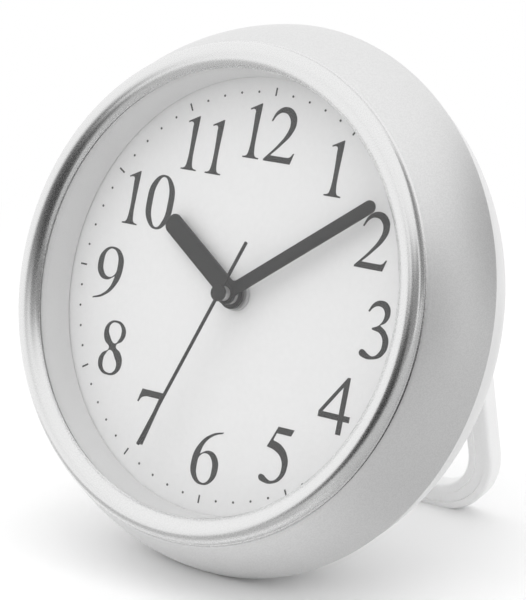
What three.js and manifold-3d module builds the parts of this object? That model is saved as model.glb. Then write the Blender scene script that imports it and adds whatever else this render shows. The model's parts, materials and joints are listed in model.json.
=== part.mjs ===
// Round table clock: silver bezel and case, white dial, domed rear cover, folding loop stand,
// and a quartz movement with its battery. Millimetres, +Z up, the dial faces -Y and leans back.
// The head is drawn along its own axis: x to the three, y to the twelve, z forward from the dial face.
import * as THREE from 'three';
import { mergeVertices } from 'three/addons/utils/BufferGeometryUtils.js';
import Module from 'manifold-3d';

const wasm = await Module();
wasm.setup();

// Fits and facets
const GAP = 0.25; // air between pieces that seat on each other
const RUN = 0.2; // running clearance round shafts and tubes
const ROUND = 40; // facets round the case
const DISC = 24; // facets round hubs, nuts and the cell
const SMALL = 12; // facets round shafts, tubes and screws
const BOWL = 5; // steps along the case wall
const DOME = 7; // steps along the dome of the cover
const ARC = 4; // steps of a quarter turn

// Stance
const LEAN_DEG = 19.3; // the dial leans back from upright
const STAND_OPEN_DEG = 29.4; // the open stand, from the plane of the back

// Dial, dial ring and lens
const RING_R = 66.7; // inside of the dial ring at the dial
const RING_WALL = 1.3;
const RING_DRAFT = 1.3; // the ring widens this much towards the lens
const DIAL_T = 0.8;
const LENS_T = 1.5;
const GASKET_T = 1.2;

// Bezel
const BEZEL_WALL = 2.95; // skirt round the lens
const BEZEL_H = 3.25; // crest above the lip's underside
const BEZEL_SHOULDER_R = 3;
const LIP_SETBACK = 0.6; // lip edge outside the dial ring's foot
const LIP_T = 0.65;
const NECK_DROP = 1.15; // case rim below the lip's underside
const SKIRT_DEPTH = 5;

// Case
const CASE_CYLINDER_WALL = 2.4;
const NECK_LIP = 0.4;
const CASE_FLARE = 9.15; // the case swells this much from neck to rear rim
const CASE_DEPTH = 22.7; // neck rim to rear rim
const CASE_BULGE = 1.4; // rise of the case's arc over its chord
const SHELL_WALL = 2.2;
const ROOF_T = 2;
const LEDGE_W = 5.5; // seat under the dial's edge
const LEDGE_T = 1.65;

// Rear cover
const COVER_STEP = 1.8; // cover edge inside the case rim
const COVER_DEPTH = 31.5;
const COVER_WALL = 2.2;
const BACK_FLAT_R = 45;
const SPIGOT_LENGTH = 4.2;
const SPIGOT_WALL = 1.6;
const COVER_GASKET_W = 1;
const COVER_GASKET_T = 1.2;

// Cover screws
const SCREW_ANGLES_DEG = [20, 160, 200, 340]; // clockwise from the twelve, seen from the front
const SCREW_R = 1.4;
const SCREW_HEAD_R = 2.9;
const SCREW_HEAD_T = 2;
const SCREW_GRIP = 6.8; // thread in the case boss
const BOSS_WALL = 1.7;
const BOSS_LENGTH = 9;
const PILLAR_FLOOR = 5;
const PILLAR_WALL = 0.9;
const SLOT_W = 0.8; // driver slot
const SLOT_DEPTH = 0.9;

// Hand tubes, from the centre outwards
const ARBOR_R = 0.5;
const TUBE_WALL = 0.6;
const BUSH_WALL = 0.9;
const NUT_WALL = 1.3;
const NUT_T = 1.4;
const BUSH_RISE = 1.7; // bush in front of the dial

// Hands, from the dial forward
const HAND_T = 0.8;
const HOUR_COLLET_H = 0.7;
const MINUTE_COLLET_H = 0.8;
const SECOND_COLLET_H = 2.3;
const HAND_SPACE = 1.2; // tube that shows between the hands
const HOUR_SHORT = 31.7; // hour tip inside the dial ring
const MINUTE_SHORT = 8.5;
const SECOND_SHORT = 12.6;
const SECOND_TAIL = 17.7;
const HOUR_W = 6.4;
const MINUTE_W = 4;
const SECOND_W = 1.1;
const SECOND_T = 0.5;
const HOUR_HUB_R = 4.3;
const MINUTE_HUB_R = 3.2;
const SECOND_BOSS_R = 2.6;
const SECOND_BOSS_H = 1.6;
const SECOND_COLLET_R = 2.15;
const TIP_CORNER_R = 2.4;
const LENS_CLEAR = 2.1; // second-hand boss to lens
const HOUR_HAND_DEG = 303.2; // clockwise from the twelve
const MINUTE_HAND_DEG = 54;
const SECOND_HAND_DEG = 201.6;

// Movement housing
const WASHER_T = 0.8;
const WASHER_W = 5;
const HOUSING_WALL = 1.5;
const PARTITION_T = 1;
const PIVOT_DEPTH = 1;
const LAYER_PITCH = 2.2; // from one wheel to the next along the axis
const WHEEL_T = 0.8;
const LAYER_CLEAR = 0.6;
const MOTION_POST_R = 0.45;
const SEAT_POST_R = 1.2;
const CLUTCH_R = 2.6;
const CLUTCH_T = 0.3;

// Gears: tooth counts, and the modules that are set freely
const TOOTH = { rise: 0.7, fall: 1.1, base: 0.62 }; // heights in modules, base as part of the pitch
const TEETH = {
  rotorPinion: 8, fifthWheel: 40, fifthPinion: 8, secondWheel: 48, secondPinion: 8, thirdWheel: 64,
  thirdPinion: 8, centreWheel: 60, minutePinion: 10, motionWheel: 30, motionPinion: 10, hourWheel: 40,
  settingPinion: 20,
};
const ROTOR_MODULE = 0.25;
const FIFTH_MODULE = 0.382;
const THIRD_MODULE = 0.3;
const MOTION_MODULE = 0.35;

// Step motor and electronics
const MAGNET_R = 2.2;
const MAGNET_T = 2.2;
const ROTOR_AIR = 0.4;
const STATOR_T = 1.2;
const STATOR_RIM = 1.2; // iron round the rotor
const CORE_W = 3; // limb inside the coil
const COIL_BUILD = 2; // winding depth round the core
const COIL_LENGTH = 14;
const YOKE_W = 2.4;
const BOARD = { width: 15, height: 15, thickness: 1 };
const BOARD_CLEAR = 1; // board to the wheels and the housing
const CRYSTAL_R = 1;
const CRYSTAL_LENGTH = 6;
const CHIP = { side: 5, thickness: 1.2 };

// Battery, its contacts and its door
const CELL_R = 7.25;
const CELL_LENGTH = 49.5;
const CELL_NUB_R = 2.75;
const CELL_NUB_LENGTH = 1;
const CONTACT_T = 0.4;
const CONTACT_SPRING = 1.1; // travel between the sheet and the cell
const CONTACT_W = 9;
const CONTACT_BUMP_R = 2;
const WELL_CLEAR = 0.95; // cell to the wall of the battery well
const WELL_WALL = 1.6;
const DOOR_LIP = 2.5;
const DOOR_T = 2;
const DOOR_GASKET_T = 0.9;
const DOOR_PLUG_WALL = 1.5;
const DOOR_PLUG_DEPTH = 4.5;

// Setting knob
const KNOB_R = 6.4;
const KNOB_H = 6;
const KNOB_FLUTES = 12;
const KNOB_FLUTE_DEPTH = 0.6;
const STEM_R = 1.4;
const STEM_IN_KNOB = 4;
const SEAL_W = 1.3;
const SEAL_T = 0.9;

// Stand
const STAND_REACH = 49.5; // outside of each leg from the middle
const STAND_BAR_W = 9;
const STAND_BAR_T = 6.7;
const STAND_CORNER_R = 24.2;
const STAND_EDGE_R = 1.2;
const HINGE_UP = 32.3; // hinge above the dial centre
const HINGE_BACK = 4; // hinge behind the flat back
const HINGE_PIN_R = 2.1;
const LUG_T = 6;
const LUG_R = 4.6;

// Radii of the head, from the dial ring outwards
const rad = THREE.MathUtils.degToRad;
const DIAL_R = RING_R + RING_WALL;
const RING_TOP_R = RING_R + RING_DRAFT;
const CYLINDER_IN_R = RING_TOP_R + RING_WALL + GAP;
const LENS_R = CYLINDER_IN_R + CASE_CYLINDER_WALL;
const SKIRT_IN_R = LENS_R + GAP;
const BEZEL_R = SKIRT_IN_R + BEZEL_WALL;
const NECK_IN_R = BEZEL_R + GAP;
const NECK_R = NECK_IN_R + NECK_LIP;
const CASE_R = NECK_R + CASE_FLARE;
const COVER_R = CASE_R - COVER_STEP;
const LEDGE_IN_R = DIAL_R - LEDGE_W;
const BOSS_CENTRE_R = (LEDGE_IN_R + LENS_R) / 2;

// Radii of the hand tubes
const MINUTE_IN_R = ARBOR_R + RUN;
const MINUTE_R = MINUTE_IN_R + TUBE_WALL;
const HOUR_IN_R = MINUTE_R + RUN;
const HOUR_R = HOUR_IN_R + TUBE_WALL;
const BUSH_IN_R = HOUR_R + RUN;
const BUSH_R = BUSH_IN_R + BUSH_WALL;
const NUT_IN_R = BUSH_R + RUN;

// Levels of the hands and of what stands in front of them
const HOUR_COLLET_Z = BUSH_RISE + GAP;
const HOUR_Z = HOUR_COLLET_Z + HOUR_COLLET_H;
const MINUTE_COLLET_Z = HOUR_Z + HAND_T + HAND_SPACE;
const MINUTE_Z = MINUTE_COLLET_Z + MINUTE_COLLET_H;
const SECOND_COLLET_Z = MINUTE_Z + HAND_T + GAP;
const SECOND_Z = SECOND_COLLET_Z + SECOND_COLLET_H;
const LENS_Z = SECOND_Z + SECOND_BOSS_H + LENS_CLEAR;
const CYLINDER_TOP = LENS_Z - GASKET_T - 2 * GAP;
const LIP_Z = LENS_Z + LENS_T + GAP;

// Levels of the case and the rear cover
const NECK_Z = LIP_Z - NECK_DROP;
const GROOVE_Z = NECK_Z - SKIRT_DEPTH;
const ROOF_Z = GROOVE_Z - ROOF_T;
const RIM_Z = NECK_Z - CASE_DEPTH;
const LEDGE_Z = -DIAL_T - GAP;
const LEDGE_BACK = LEDGE_Z - LEDGE_T;
const BOSS_END = LEDGE_BACK - BOSS_LENGTH;
const PILLAR_END = BOSS_END - GAP;
const SCREW_SEAT = PILLAR_END - PILLAR_FLOOR;
const COVER_Z = RIM_Z - GAP;
const BACK_Z = COVER_Z - COVER_DEPTH;

// Levels of the movement
const WASHER_Z = LEDGE_Z - WASHER_T;
const HOUSING_Z = WASHER_Z - GAP;
const PLATE_Z = HOUSING_Z - HOUSING_WALL;
const layerTop = (layer) => PLATE_Z - LAYER_CLEAR - layer * LAYER_PITCH;
const LAYER = { hour: 0, motion: 1, centre: 2, third: 3, second: 4, fifth: 5 };
const REAR_PLATE_Z = layerTop(LAYER.fifth) - WHEEL_T - LAYER_CLEAR;
const HOUSING_BACK = REAR_PLATE_Z - HOUSING_WALL;
const MAGNET_Z = layerTop(LAYER.third) - WHEEL_T / 2;

// Places of the wheels, seen from the front: the second, centre and hour wheels share the middle
const SECOND_TO_THIRD = ((TEETH.secondPinion + TEETH.thirdWheel) * THIRD_MODULE) / 2;
const CENTRE_MODULE = (2 * SECOND_TO_THIRD) / (TEETH.thirdPinion + TEETH.centreWheel);
const MINUTE_TO_MOTION = ((TEETH.minutePinion + TEETH.motionWheel) * MOTION_MODULE) / 2;
const HOUR_MODULE = (2 * MINUTE_TO_MOTION) / (TEETH.motionPinion + TEETH.hourWheel);
const SECOND_TO_FIFTH = ((TEETH.fifthPinion + TEETH.secondWheel) * FIFTH_MODULE) / 2;
const FIFTH_TO_ROTOR = ((TEETH.rotorPinion + TEETH.fifthWheel) * ROTOR_MODULE) / 2;
const MOTION_TO_SETTING = ((TEETH.motionWheel + TEETH.settingPinion) * MOTION_MODULE) / 2;
const MIDDLE = { x: 0, y: 0 };
const THIRD_AT = { x: 0, y: SECOND_TO_THIRD };
const FIFTH_AT = { x: -SECOND_TO_FIFTH, y: 0 };
const ROTOR_AT = { x: FIFTH_AT.x - FIFTH_TO_ROTOR, y: 0 };
const MOTION_AT = { x: MINUTE_TO_MOTION, y: 0 };
const SETTING_AT = { x: MOTION_AT.x + MOTION_TO_SETTING, y: 0 };
const tipRadius = (teeth, module) => (teeth / 2 + TOOTH.rise) * module;
const CENTRE_TIP_R = tipRadius(TEETH.centreWheel, CENTRE_MODULE);

const THIRD_TIP_R = tipRadius(TEETH.thirdWheel, THIRD_MODULE);

// Stator: a frame of sheet iron with the rotor's hole, one limb of it inside the coil
const ROTOR_HOLE_R = MAGNET_R + ROTOR_AIR;
const POLES_HALF = ROTOR_HOLE_R + STATOR_RIM;
const STATOR_RIGHT = ROTOR_AT.x + POLES_HALF;
const CORE_RIGHT = STATOR_RIGHT - YOKE_W - 2 * GAP - COIL_BUILD - 2 * GAP;
const CORE_LEFT = CORE_RIGHT - CORE_W;
const COIL_LEFT = CORE_LEFT - GAP - COIL_BUILD;
const WINDOW_TOP = POLES_HALF + COIL_LENGTH + 2 * GAP;
const STATOR_TOP = WINDOW_TOP + YOKE_W;

// Circuit board beside the wheels
const BOARD_LEFT = Math.max(CENTRE_TIP_R, THIRD_TIP_R) + BOARD_CLEAR;
const BOARD_RIGHT = BOARD_LEFT + BOARD.width;
const BOARD_BOTTOM = tipRadius(TEETH.settingPinion, MOTION_MODULE) + BOARD_CLEAR;
const BOARD_TOP = BOARD_BOTTOM + BOARD.height;
const BOARD_Z = MAGNET_Z; // front face of the board

// Battery bay below the wheels
const PARTITION_Y = -CENTRE_TIP_R - LAYER_CLEAR;
const CELL_HALF = (CELL_LENGTH + CELL_NUB_LENGTH) / 2;
const BAY_TOP = PARTITION_Y - PARTITION_T;
const CELL_Y = BAY_TOP - GAP - CELL_R;
const BAY_BOTTOM = CELL_Y - CELL_R - GAP;
const HOUSING_BOTTOM = BAY_BOTTOM - HOUSING_WALL;
const CELL_Z = PLATE_Z - GAP - CELL_R;
const BAY_HALF = Math.max(
  CELL_HALF + CONTACT_SPRING + CONTACT_T + GAP, BOARD_RIGHT + LAYER_CLEAR, LAYER_CLEAR - COIL_LEFT,
);
const HOUSING_HALF = BAY_HALF + HOUSING_WALL;
const WHEELS_TOP = Math.max(THIRD_AT.y + THIRD_TIP_R, STATOR_TOP, BOARD_TOP) + LAYER_CLEAR;
const HOUSING_TOP = WHEELS_TOP + HOUSING_WALL;

// Battery well and door in the rear cover
const WELL = { x: CELL_HALF + WELL_CLEAR, y: CELL_R + WELL_CLEAR };
const REBATE = { x: WELL.x + DOOR_LIP, y: WELL.y + DOOR_LIP };
const WELL_Z = Math.min(HOUSING_BACK, CELL_Z - CELL_R) - GAP;
const DOOR_INNER_Z = BACK_Z + DOOR_T;
const REBATE_Z = DOOR_INNER_Z + DOOR_GASKET_T + 2 * GAP;

// Stand and table: the table touches the lowest point of the case's rear rim
const LEAN = rad(LEAN_DEG);
const OPEN = rad(STAND_OPEN_DEG);
const DIAL_HEIGHT = CASE_R * Math.cos(LEAN) - RIM_Z * Math.sin(LEAN);
const HINGE_Z = BACK_Z - HINGE_BACK;
const HINGE_HEIGHT = DIAL_HEIGHT + HINGE_UP * Math.cos(LEAN) + HINGE_Z * Math.sin(LEAN);
const LEG_TILT = OPEN - LEAN;
const FOOT_SINK = (STAND_BAR_T / 2) * Math.sin(LEG_TILT);
const LEG_LENGTH = (HINGE_HEIGHT + FOOT_SINK) / Math.cos(LEG_TILT);
const LEG_IN = STAND_REACH - STAND_BAR_W;
const LUG_OUT = LEG_IN - 2 * RUN;
const LUG_IN = LUG_OUT - LUG_T;

// Solids: welded closed geometries, joined and cut
const WELD = 1e-4;

function signedVolume(geometry) {
  const at = geometry.attributes.position;
  const [a, b, c] = [new THREE.Vector3(), new THREE.Vector3(), new THREE.Vector3()];
  let sum = 0;
  for (let i = 0; i < geometry.index.count; i += 3) {
    a.fromBufferAttribute(at, geometry.index.getX(i));
    b.fromBufferAttribute(at, geometry.index.getX(i + 1));
    c.fromBufferAttribute(at, geometry.index.getX(i + 2));
    sum += a.dot(b.cross(c));
  }
  return sum / 6;
}

function weld(geometry) {
  geometry.deleteAttribute('normal');
  geometry.deleteAttribute('uv');
  const merged = mergeVertices(geometry, WELD);
  const kept = [];
  for (let i = 0; i < merged.index.count; i += 3) {
    const triangle = [0, 1, 2].map((corner) => merged.index.getX(i + corner));
    if (new Set(triangle).size === 3) kept.push(triangle);
  }
  merged.setIndex(kept.flat());
  if (signedVolume(merged) < 0) merged.setIndex(kept.map(([a, b, c]) => [a, c, b]).flat());
  return merged;
}

function toSolid(geometry) {
  const vertProperties = new Float32Array(geometry.attributes.position.array);
  const triVerts = new Uint32Array(geometry.index.array);
  return new wasm.Manifold(new wasm.Mesh({ numProp: 3, vertProperties, triVerts }));
}

function fromSolid(solid) {
  const { vertProperties, triVerts } = solid.getMesh();
  const geometry = new THREE.BufferGeometry();
  geometry.setAttribute('position', new THREE.BufferAttribute(new Float32Array(vertProperties), 3));
  geometry.setIndex([...triVerts]);
  return geometry;
}

const join = (...pieces) => fromSolid(pieces.map(toSolid).reduce((sum, piece) => sum.add(piece)));
const cut = (body, ...tools) =>
  fromSolid(tools.map(toSolid).reduce((left, tool) => left.subtract(tool), toSolid(body)));
const common = (first, second) => fromSolid(toSolid(first).intersect(toSolid(second)));

// A closed outline of [radius, z] points turned about the head's axis
function revolve(outline, facets = ROUND) {
  const points = [...outline, outline[0]].map(([radius, z]) => new THREE.Vector2(radius, z));
  return weld(new THREE.LatheGeometry(points, facets).rotateX(Math.PI / 2));
}

const ring = (inner, outer, z0, z1, facets = ROUND) =>
  revolve([[inner, z0], [outer, z0], [outer, z1], [inner, z1]], facets);

const rod = (radius, z0, z1, facets = SMALL) =>
  weld(new THREE.CylinderGeometry(radius, radius, z1 - z0, facets)
    .rotateX(Math.PI / 2)
    .translate(0, 0, (z0 + z1) / 2));

const block = ([x0, y0, z0], [x1, y1, z1]) =>
  weld(new THREE.BoxGeometry(x1 - x0, y1 - y0, z1 - z0)
    .translate((x0 + x1) / 2, (y0 + y1) / 2, (z0 + z1) / 2));

// Curves take twice the segments given here
const plate = (shape, z0, z1, curveSegments = ARC / 2) =>
  weld(new THREE.ExtrudeGeometry(shape, { depth: z1 - z0, bevelEnabled: false, curveSegments })
    .translate(0, 0, z0));

// The four corners of a rectangle round (0, y), as a hole in a shape
const rectangleHole = (halfX, halfY, y = 0) =>
  new THREE.Path([[-1, -1], [-1, 1], [1, 1], [1, -1]].map(([i, j]) =>
    new THREE.Vector2(i * halfX, y + j * halfY)));

// Points of a curve by angle, from start to end
const sweep = (start, end, steps, place) =>
  Array.from({ length: steps + 1 }, (_, i) => place(start + ((end - start) * i) / steps));

// A centred rectangle with rounded corners
function roundedRectangle(halfX, halfY, corner, centreY = 0) {
  const shape = new THREE.Shape();
  const [x, y] = [halfX - corner, halfY - corner];
  shape.absarc(x, centreY + y, corner, 0, Math.PI / 2);
  shape.absarc(-x, centreY + y, corner, Math.PI / 2, Math.PI);
  shape.absarc(-x, centreY - y, corner, Math.PI, 1.5 * Math.PI);
  shape.absarc(x, centreY - y, corner, 1.5 * Math.PI, 2 * Math.PI);
  return shape;
}

// A gear about its own axis, with one tooth at the phase angle
function gear(teeth, module, z0, z1, phase, boreR = 0) {
  const pitchR = (teeth * module) / 2;
  const [rootR, tipR] = [pitchR - TOOTH.fall * module, pitchR + TOOTH.rise * module];
  const pitch = (2 * Math.PI) / teeth;
  const points = [];
  for (let i = 0; i < teeth; i += 1) {
    const middle = phase + i * pitch;
    const flank = (TOOTH.base * pitch) / 2;
    for (const [radius, angle] of [[rootR, middle - flank], [tipR, middle], [rootR, middle + flank]]) {
      points.push(new THREE.Vector2(radius * Math.cos(angle), radius * Math.sin(angle)));
    }
  }
  const shape = new THREE.Shape(points);
  if (boreR) shape.holes.push(new THREE.Path().absarc(0, 0, boreR, 0, 2 * Math.PI, true));
  return plate(shape, z0, z1, SMALL / 2);
}

// Phase that sets the driven gear's gap on the driver's tooth, along the line between their centres
const meshPhase = (direction, driverPhase, driverTeeth, drivenTeeth) =>
  direction + Math.PI - ((driverPhase - direction) * driverTeeth) / drivenTeeth + Math.PI / drivenTeeth;

const wheelAt = (teeth, module, layer, phase, boreR) =>
  gear(teeth, module, layerTop(layer) - WHEEL_T, layerTop(layer), phase, boreR);

// A pinion that starts on its own wheel's layer and runs past the layer that it drives
const pinionAt = (teeth, module, wheelLayer, drivenLayer, phase) =>
  gear(teeth, module, layerTop(wheelLayer) - WHEEL_T / 2, layerTop(drivenLayer) + GAP, phase);

// Pivots end inside blind holes in the two plates of the movement
const FRONT_PIVOT = PLATE_Z + PIVOT_DEPTH - GAP;
const REAR_PIVOT = REAR_PLATE_Z - PIVOT_DEPTH + GAP;
const pivotHole = (at, z0, z1) => rod(ARBOR_R + RUN, z0, z1).translate(at.x, at.y, 0);

const aluminium = { color: 0xc9cac8, roughness: 0.38, metalness: 0.85 };
const silverPaint = { color: 0xbfc0be, roughness: 0.45, metalness: 0.55 };
const whitePlastic = { color: 0xe8e8e6, roughness: 0.45, metalness: 0 };
const dialWhite = { color: 0xdfe0df, roughness: 0.7, metalness: 0 };
const clear = { color: 0xffffff, roughness: 0.05, metalness: 0, transparent: true, opacity: 0.2 };
const rubber = { color: 0x2a2a2a, roughness: 0.85, metalness: 0 };
const handGrey = { color: 0x4a4c4c, roughness: 0.5, metalness: 0.1 };
const brass = { color: 0xc2a25a, roughness: 0.35, metalness: 0.9 };
const steel = { color: 0xa9abad, roughness: 0.35, metalness: 0.95 };
const gearPlastic = { color: 0xe9e4d2, roughness: 0.5, metalness: 0 };
const blackPlastic = { color: 0x1d1d1f, roughness: 0.5, metalness: 0 };
const copper = { color: 0xb0653a, roughness: 0.4, metalness: 0.8 };
const boardGreen = { color: 0x2f5d3a, roughness: 0.6, metalness: 0 };
const cellSleeve = { color: 0x8a8f94, roughness: 0.35, metalness: 0.4 };

const clock = new THREE.Group();
const stance = new THREE.Group();
const head = new THREE.Group();
clock.add(stance);
stance.add(head);
stance.position.z = DIAL_HEIGHT;
head.rotation.x = Math.PI / 2 - LEAN;

function add(name, geometry, finish, at = { x: 0, y: 0 }, turn = 0, parent = head) {
  const mesh = new THREE.Mesh(geometry, new THREE.MeshStandardMaterial(finish));
  mesh.name = name;
  mesh.position.set(at.x, at.y, 0);
  mesh.rotation.z = turn;
  parent.add(mesh);
}

// Bezel, lens and seals
function bezel() {
  const crestR = BEZEL_R - BEZEL_SHOULDER_R;
  const crestZ = LIP_Z + BEZEL_H;
  const lipR = RING_R + LIP_SETBACK;
  const lipTop = LIP_Z + LIP_T;
  const [run, rise] = [crestR - lipR, crestZ - lipTop];
  const crownR = (run * run + rise * rise) / (2 * rise);
  const crown = sweep(Math.asin(run / crownR), 0, ARC, (a) => [
    crestR - crownR * Math.sin(a),
    crestZ - crownR * (1 - Math.cos(a)),
  ]);
  const shoulder = sweep(0, Math.PI / 2, ARC, (a) => [
    crestR + BEZEL_SHOULDER_R * Math.sin(a),
    crestZ - BEZEL_SHOULDER_R * (1 - Math.cos(a)),
  ]);
  const foot = GROOVE_Z + GAP;
  const skirt = [[BEZEL_R, foot], [SKIRT_IN_R, foot], [SKIRT_IN_R, LIP_Z]];
  return revolve([[lipR, LIP_Z], ...crown, ...shoulder.slice(1), ...skirt]);
}
add('front_bezel', bezel(), aluminium);
add('lens', rod(LENS_R, LENS_Z, LENS_Z + LENS_T, ROUND), clear);
add('lens_gasket', ring(CYLINDER_IN_R + GAP, LENS_R - GAP, CYLINDER_TOP + GAP, LENS_Z - GAP), rubber);
const ringFoot = GAP;
const ringTop = LENS_Z - GAP;
const dialRing = revolve([
  [RING_R, ringFoot], [DIAL_R, ringFoot], [RING_TOP_R + RING_WALL, ringTop], [RING_TOP_R, ringTop],
]);
add('dial_ring', dialRing, whitePlastic);
add('dial', ring(BUSH_R + GAP, DIAL_R, -DIAL_T, 0), dialWhite);

// Case: the outer wall is an arc from the neck to the rear rim
const chord = Math.hypot(CASE_FLARE, CASE_DEPTH);
const arcR = (chord * chord) / (8 * CASE_BULGE) + CASE_BULGE / 2;
const arcCentre = {
  r: (NECK_R + CASE_R) / 2 - ((arcR - CASE_BULGE) * CASE_DEPTH) / chord,
  z: (NECK_Z + RIM_Z) / 2 - ((arcR - CASE_BULGE) * CASE_FLARE) / chord,
};
const caseRadius = (z) => arcCentre.r + Math.sqrt(arcR * arcR - (z - arcCentre.z) ** 2);
const screwPlaces = SCREW_ANGLES_DEG.map((angle) => ({
  x: BOSS_CENTRE_R * Math.sin(rad(angle)),
  y: BOSS_CENTRE_R * Math.cos(rad(angle)),
}));
const atScrews = (make) => screwPlaces.map(({ x, y }) => make().translate(x, y, 0));

function caseBody() {
  const outside = sweep(NECK_Z, RIM_Z, BOWL, (z) => [caseRadius(z), z]);
  const inside = sweep(RIM_Z, ROOF_Z, ARC, (z) => [caseRadius(z) - SHELL_WALL, z]);
  const shell = revolve([
    [NECK_IN_R, NECK_Z], ...outside, ...inside, [LENS_R, ROOF_Z], [LENS_R, LEDGE_BACK],
    [LEDGE_IN_R, LEDGE_BACK], [LEDGE_IN_R, LEDGE_Z], [CYLINDER_IN_R, LEDGE_Z],
    [CYLINDER_IN_R, CYLINDER_TOP], [LENS_R, CYLINDER_TOP], [LENS_R, GROOVE_Z], [NECK_IN_R, GROOVE_Z],
  ]);
  const holeR = SCREW_R + RUN;
  const bosses = atScrews(() => rod(holeR + BOSS_WALL, BOSS_END, LEDGE_BACK + LEDGE_T / 2));
  const holes = atScrews(() => rod(holeR, BOSS_END - GAP, BOSS_END + SCREW_GRIP + GAP));
  return cut(join(shell, ...bosses), ...holes);
}
add('case_body', caseBody(), silverPaint);

// Rear cover: a quarter ellipse from its edge to the flat back
const domeOut = COVER_R - BACK_FLAT_R;
function coverZ(radius) {
  const share = Math.max(radius - BACK_FLAT_R, 0) / domeOut;
  return COVER_Z - COVER_DEPTH * Math.sqrt(1 - share * share);
}
const spigotR = caseRadius(RIM_Z + SPIGOT_LENGTH) - SHELL_WALL - COVER_GASKET_W - GAP;
const spigotInR = spigotR - SPIGOT_WALL;

function rearCover() {
  const dome = (wall, steps) => sweep(0, Math.PI / 2, steps, (a) => [
    BACK_FLAT_R + (domeOut - wall) * Math.cos(a),
    COVER_Z - (COVER_DEPTH - wall) * Math.sin(a),
  ]);
  const filled = revolve([[0, COVER_Z], ...dome(0, DOME), [0, BACK_Z]]);
  const mouth = [[0, COVER_Z + GAP], [spigotInR, COVER_Z + GAP]];
  const hollow = revolve([...mouth, ...dome(COVER_WALL, ARC).slice(1), [0, BACK_Z + COVER_WALL]]);
  const spigot = ring(spigotInR, spigotR, COVER_Z - COVER_WALL, RIM_Z + SPIGOT_LENGTH);
  const headHoleR = SCREW_HEAD_R + RUN;
  const pillars = common(join(...atScrews(() => rod(headHoleR + PILLAR_WALL, BACK_Z, PILLAR_END))), filled);
  const around = ({ x, y }) => roundedRectangle(x + WELL_WALL, y + WELL_WALL, WELL_WALL, CELL_Y);
  const well = plate(around(WELL), BACK_Z, WELL_Z);
  const frame = plate(around(REBATE), BACK_Z, REBATE_Z + WELL_WALL);
  const sealTop = BACK_Z + SEAL_T + 2 * GAP;
  const atKnob = (radius, z0, z1) => rod(radius, z0, z1).translate(SETTING_AT.x, SETTING_AT.y, 0);
  const knobBoss = atKnob(STEM_R + RUN + SEAL_W + WELL_WALL, BACK_Z, sealTop + WELL_WALL);
  const lugs = [-1, 1].map((side) => hingeLug(side));
  const body = join(cut(filled, hollow), spigot, pillars, well, frame, knobBoss, ...lugs);
  return cut(
    body,
    ...atScrews(() => rod(headHoleR, BACK_Z - GAP, SCREW_SEAT)),
    ...atScrews(() => rod(SCREW_R + RUN, SCREW_SEAT - GAP, PILLAR_END + GAP)),
    block([-WELL.x, CELL_Y - WELL.y, BACK_Z - GAP], [WELL.x, CELL_Y + WELL.y, WELL_Z + GAP]),
    plate(roundedRectangle(REBATE.x, REBATE.y, WELL_WALL, CELL_Y), BACK_Z - GAP, REBATE_Z),
    atKnob(STEM_R + RUN, BACK_Z - GAP, 0),
    atKnob(STEM_R + RUN + SEAL_W, BACK_Z - GAP, sealTop),
  );
}

// A hinge lug: a rounded ear across the pin, rooted in the cover's wall
function hingeLug(side) {
  const rootZ = coverZ(Math.hypot(LUG_OUT, HINGE_UP + LUG_R)) + COVER_WALL / 2;
  const ear = new THREE.Shape();
  ear.moveTo(HINGE_UP + LUG_R, rootZ);
  ear.lineTo(HINGE_UP + LUG_R, HINGE_Z);
  ear.absarc(HINGE_UP, HINGE_Z, LUG_R, 0, -Math.PI, true);
  ear.lineTo(HINGE_UP - LUG_R, rootZ);
  ear.holes.push(new THREE.Path().absarc(HINGE_UP, HINGE_Z, HINGE_PIN_R + RUN, 0, 2 * Math.PI));
  const acrossPin = new THREE.Matrix4().set(0, 0, 1, 0, 1, 0, 0, 0, 0, 1, 0, 0, 0, 0, 0, 1);
  return weld(plate(ear, 0, LUG_T, SMALL / 2)
    .applyMatrix4(acrossPin)
    .translate(side > 0 ? LUG_IN : -LUG_OUT, 0, 0));
}
add('rear_cover', rearCover(), whitePlastic);
const gasketFoot = COVER_Z + GAP;
const gasketInR = spigotR + RUN;
const coverGasket = ring(gasketInR, gasketInR + COVER_GASKET_W, gasketFoot, gasketFoot + COVER_GASKET_T);
add('cover_gasket', coverGasket, rubber);

function coverScrew() {
  const seat = SCREW_SEAT - GAP;
  const headEnd = seat - SCREW_HEAD_T;
  const pan = rod(SCREW_HEAD_R, headEnd, seat);
  const shank = rod(SCREW_R, seat - SCREW_HEAD_T / 2, BOSS_END + SCREW_GRIP);
  const half = SLOT_W / 2;
  const slot = block([-SCREW_HEAD_R, -half, headEnd - GAP], [SCREW_HEAD_R, half, headEnd + SLOT_DEPTH]);
  return cut(join(pan, shank), slot);
}
screwPlaces.forEach((place, i) => add(`cover_screw_${i + 1}`, coverScrew(), steel, place));

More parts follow.
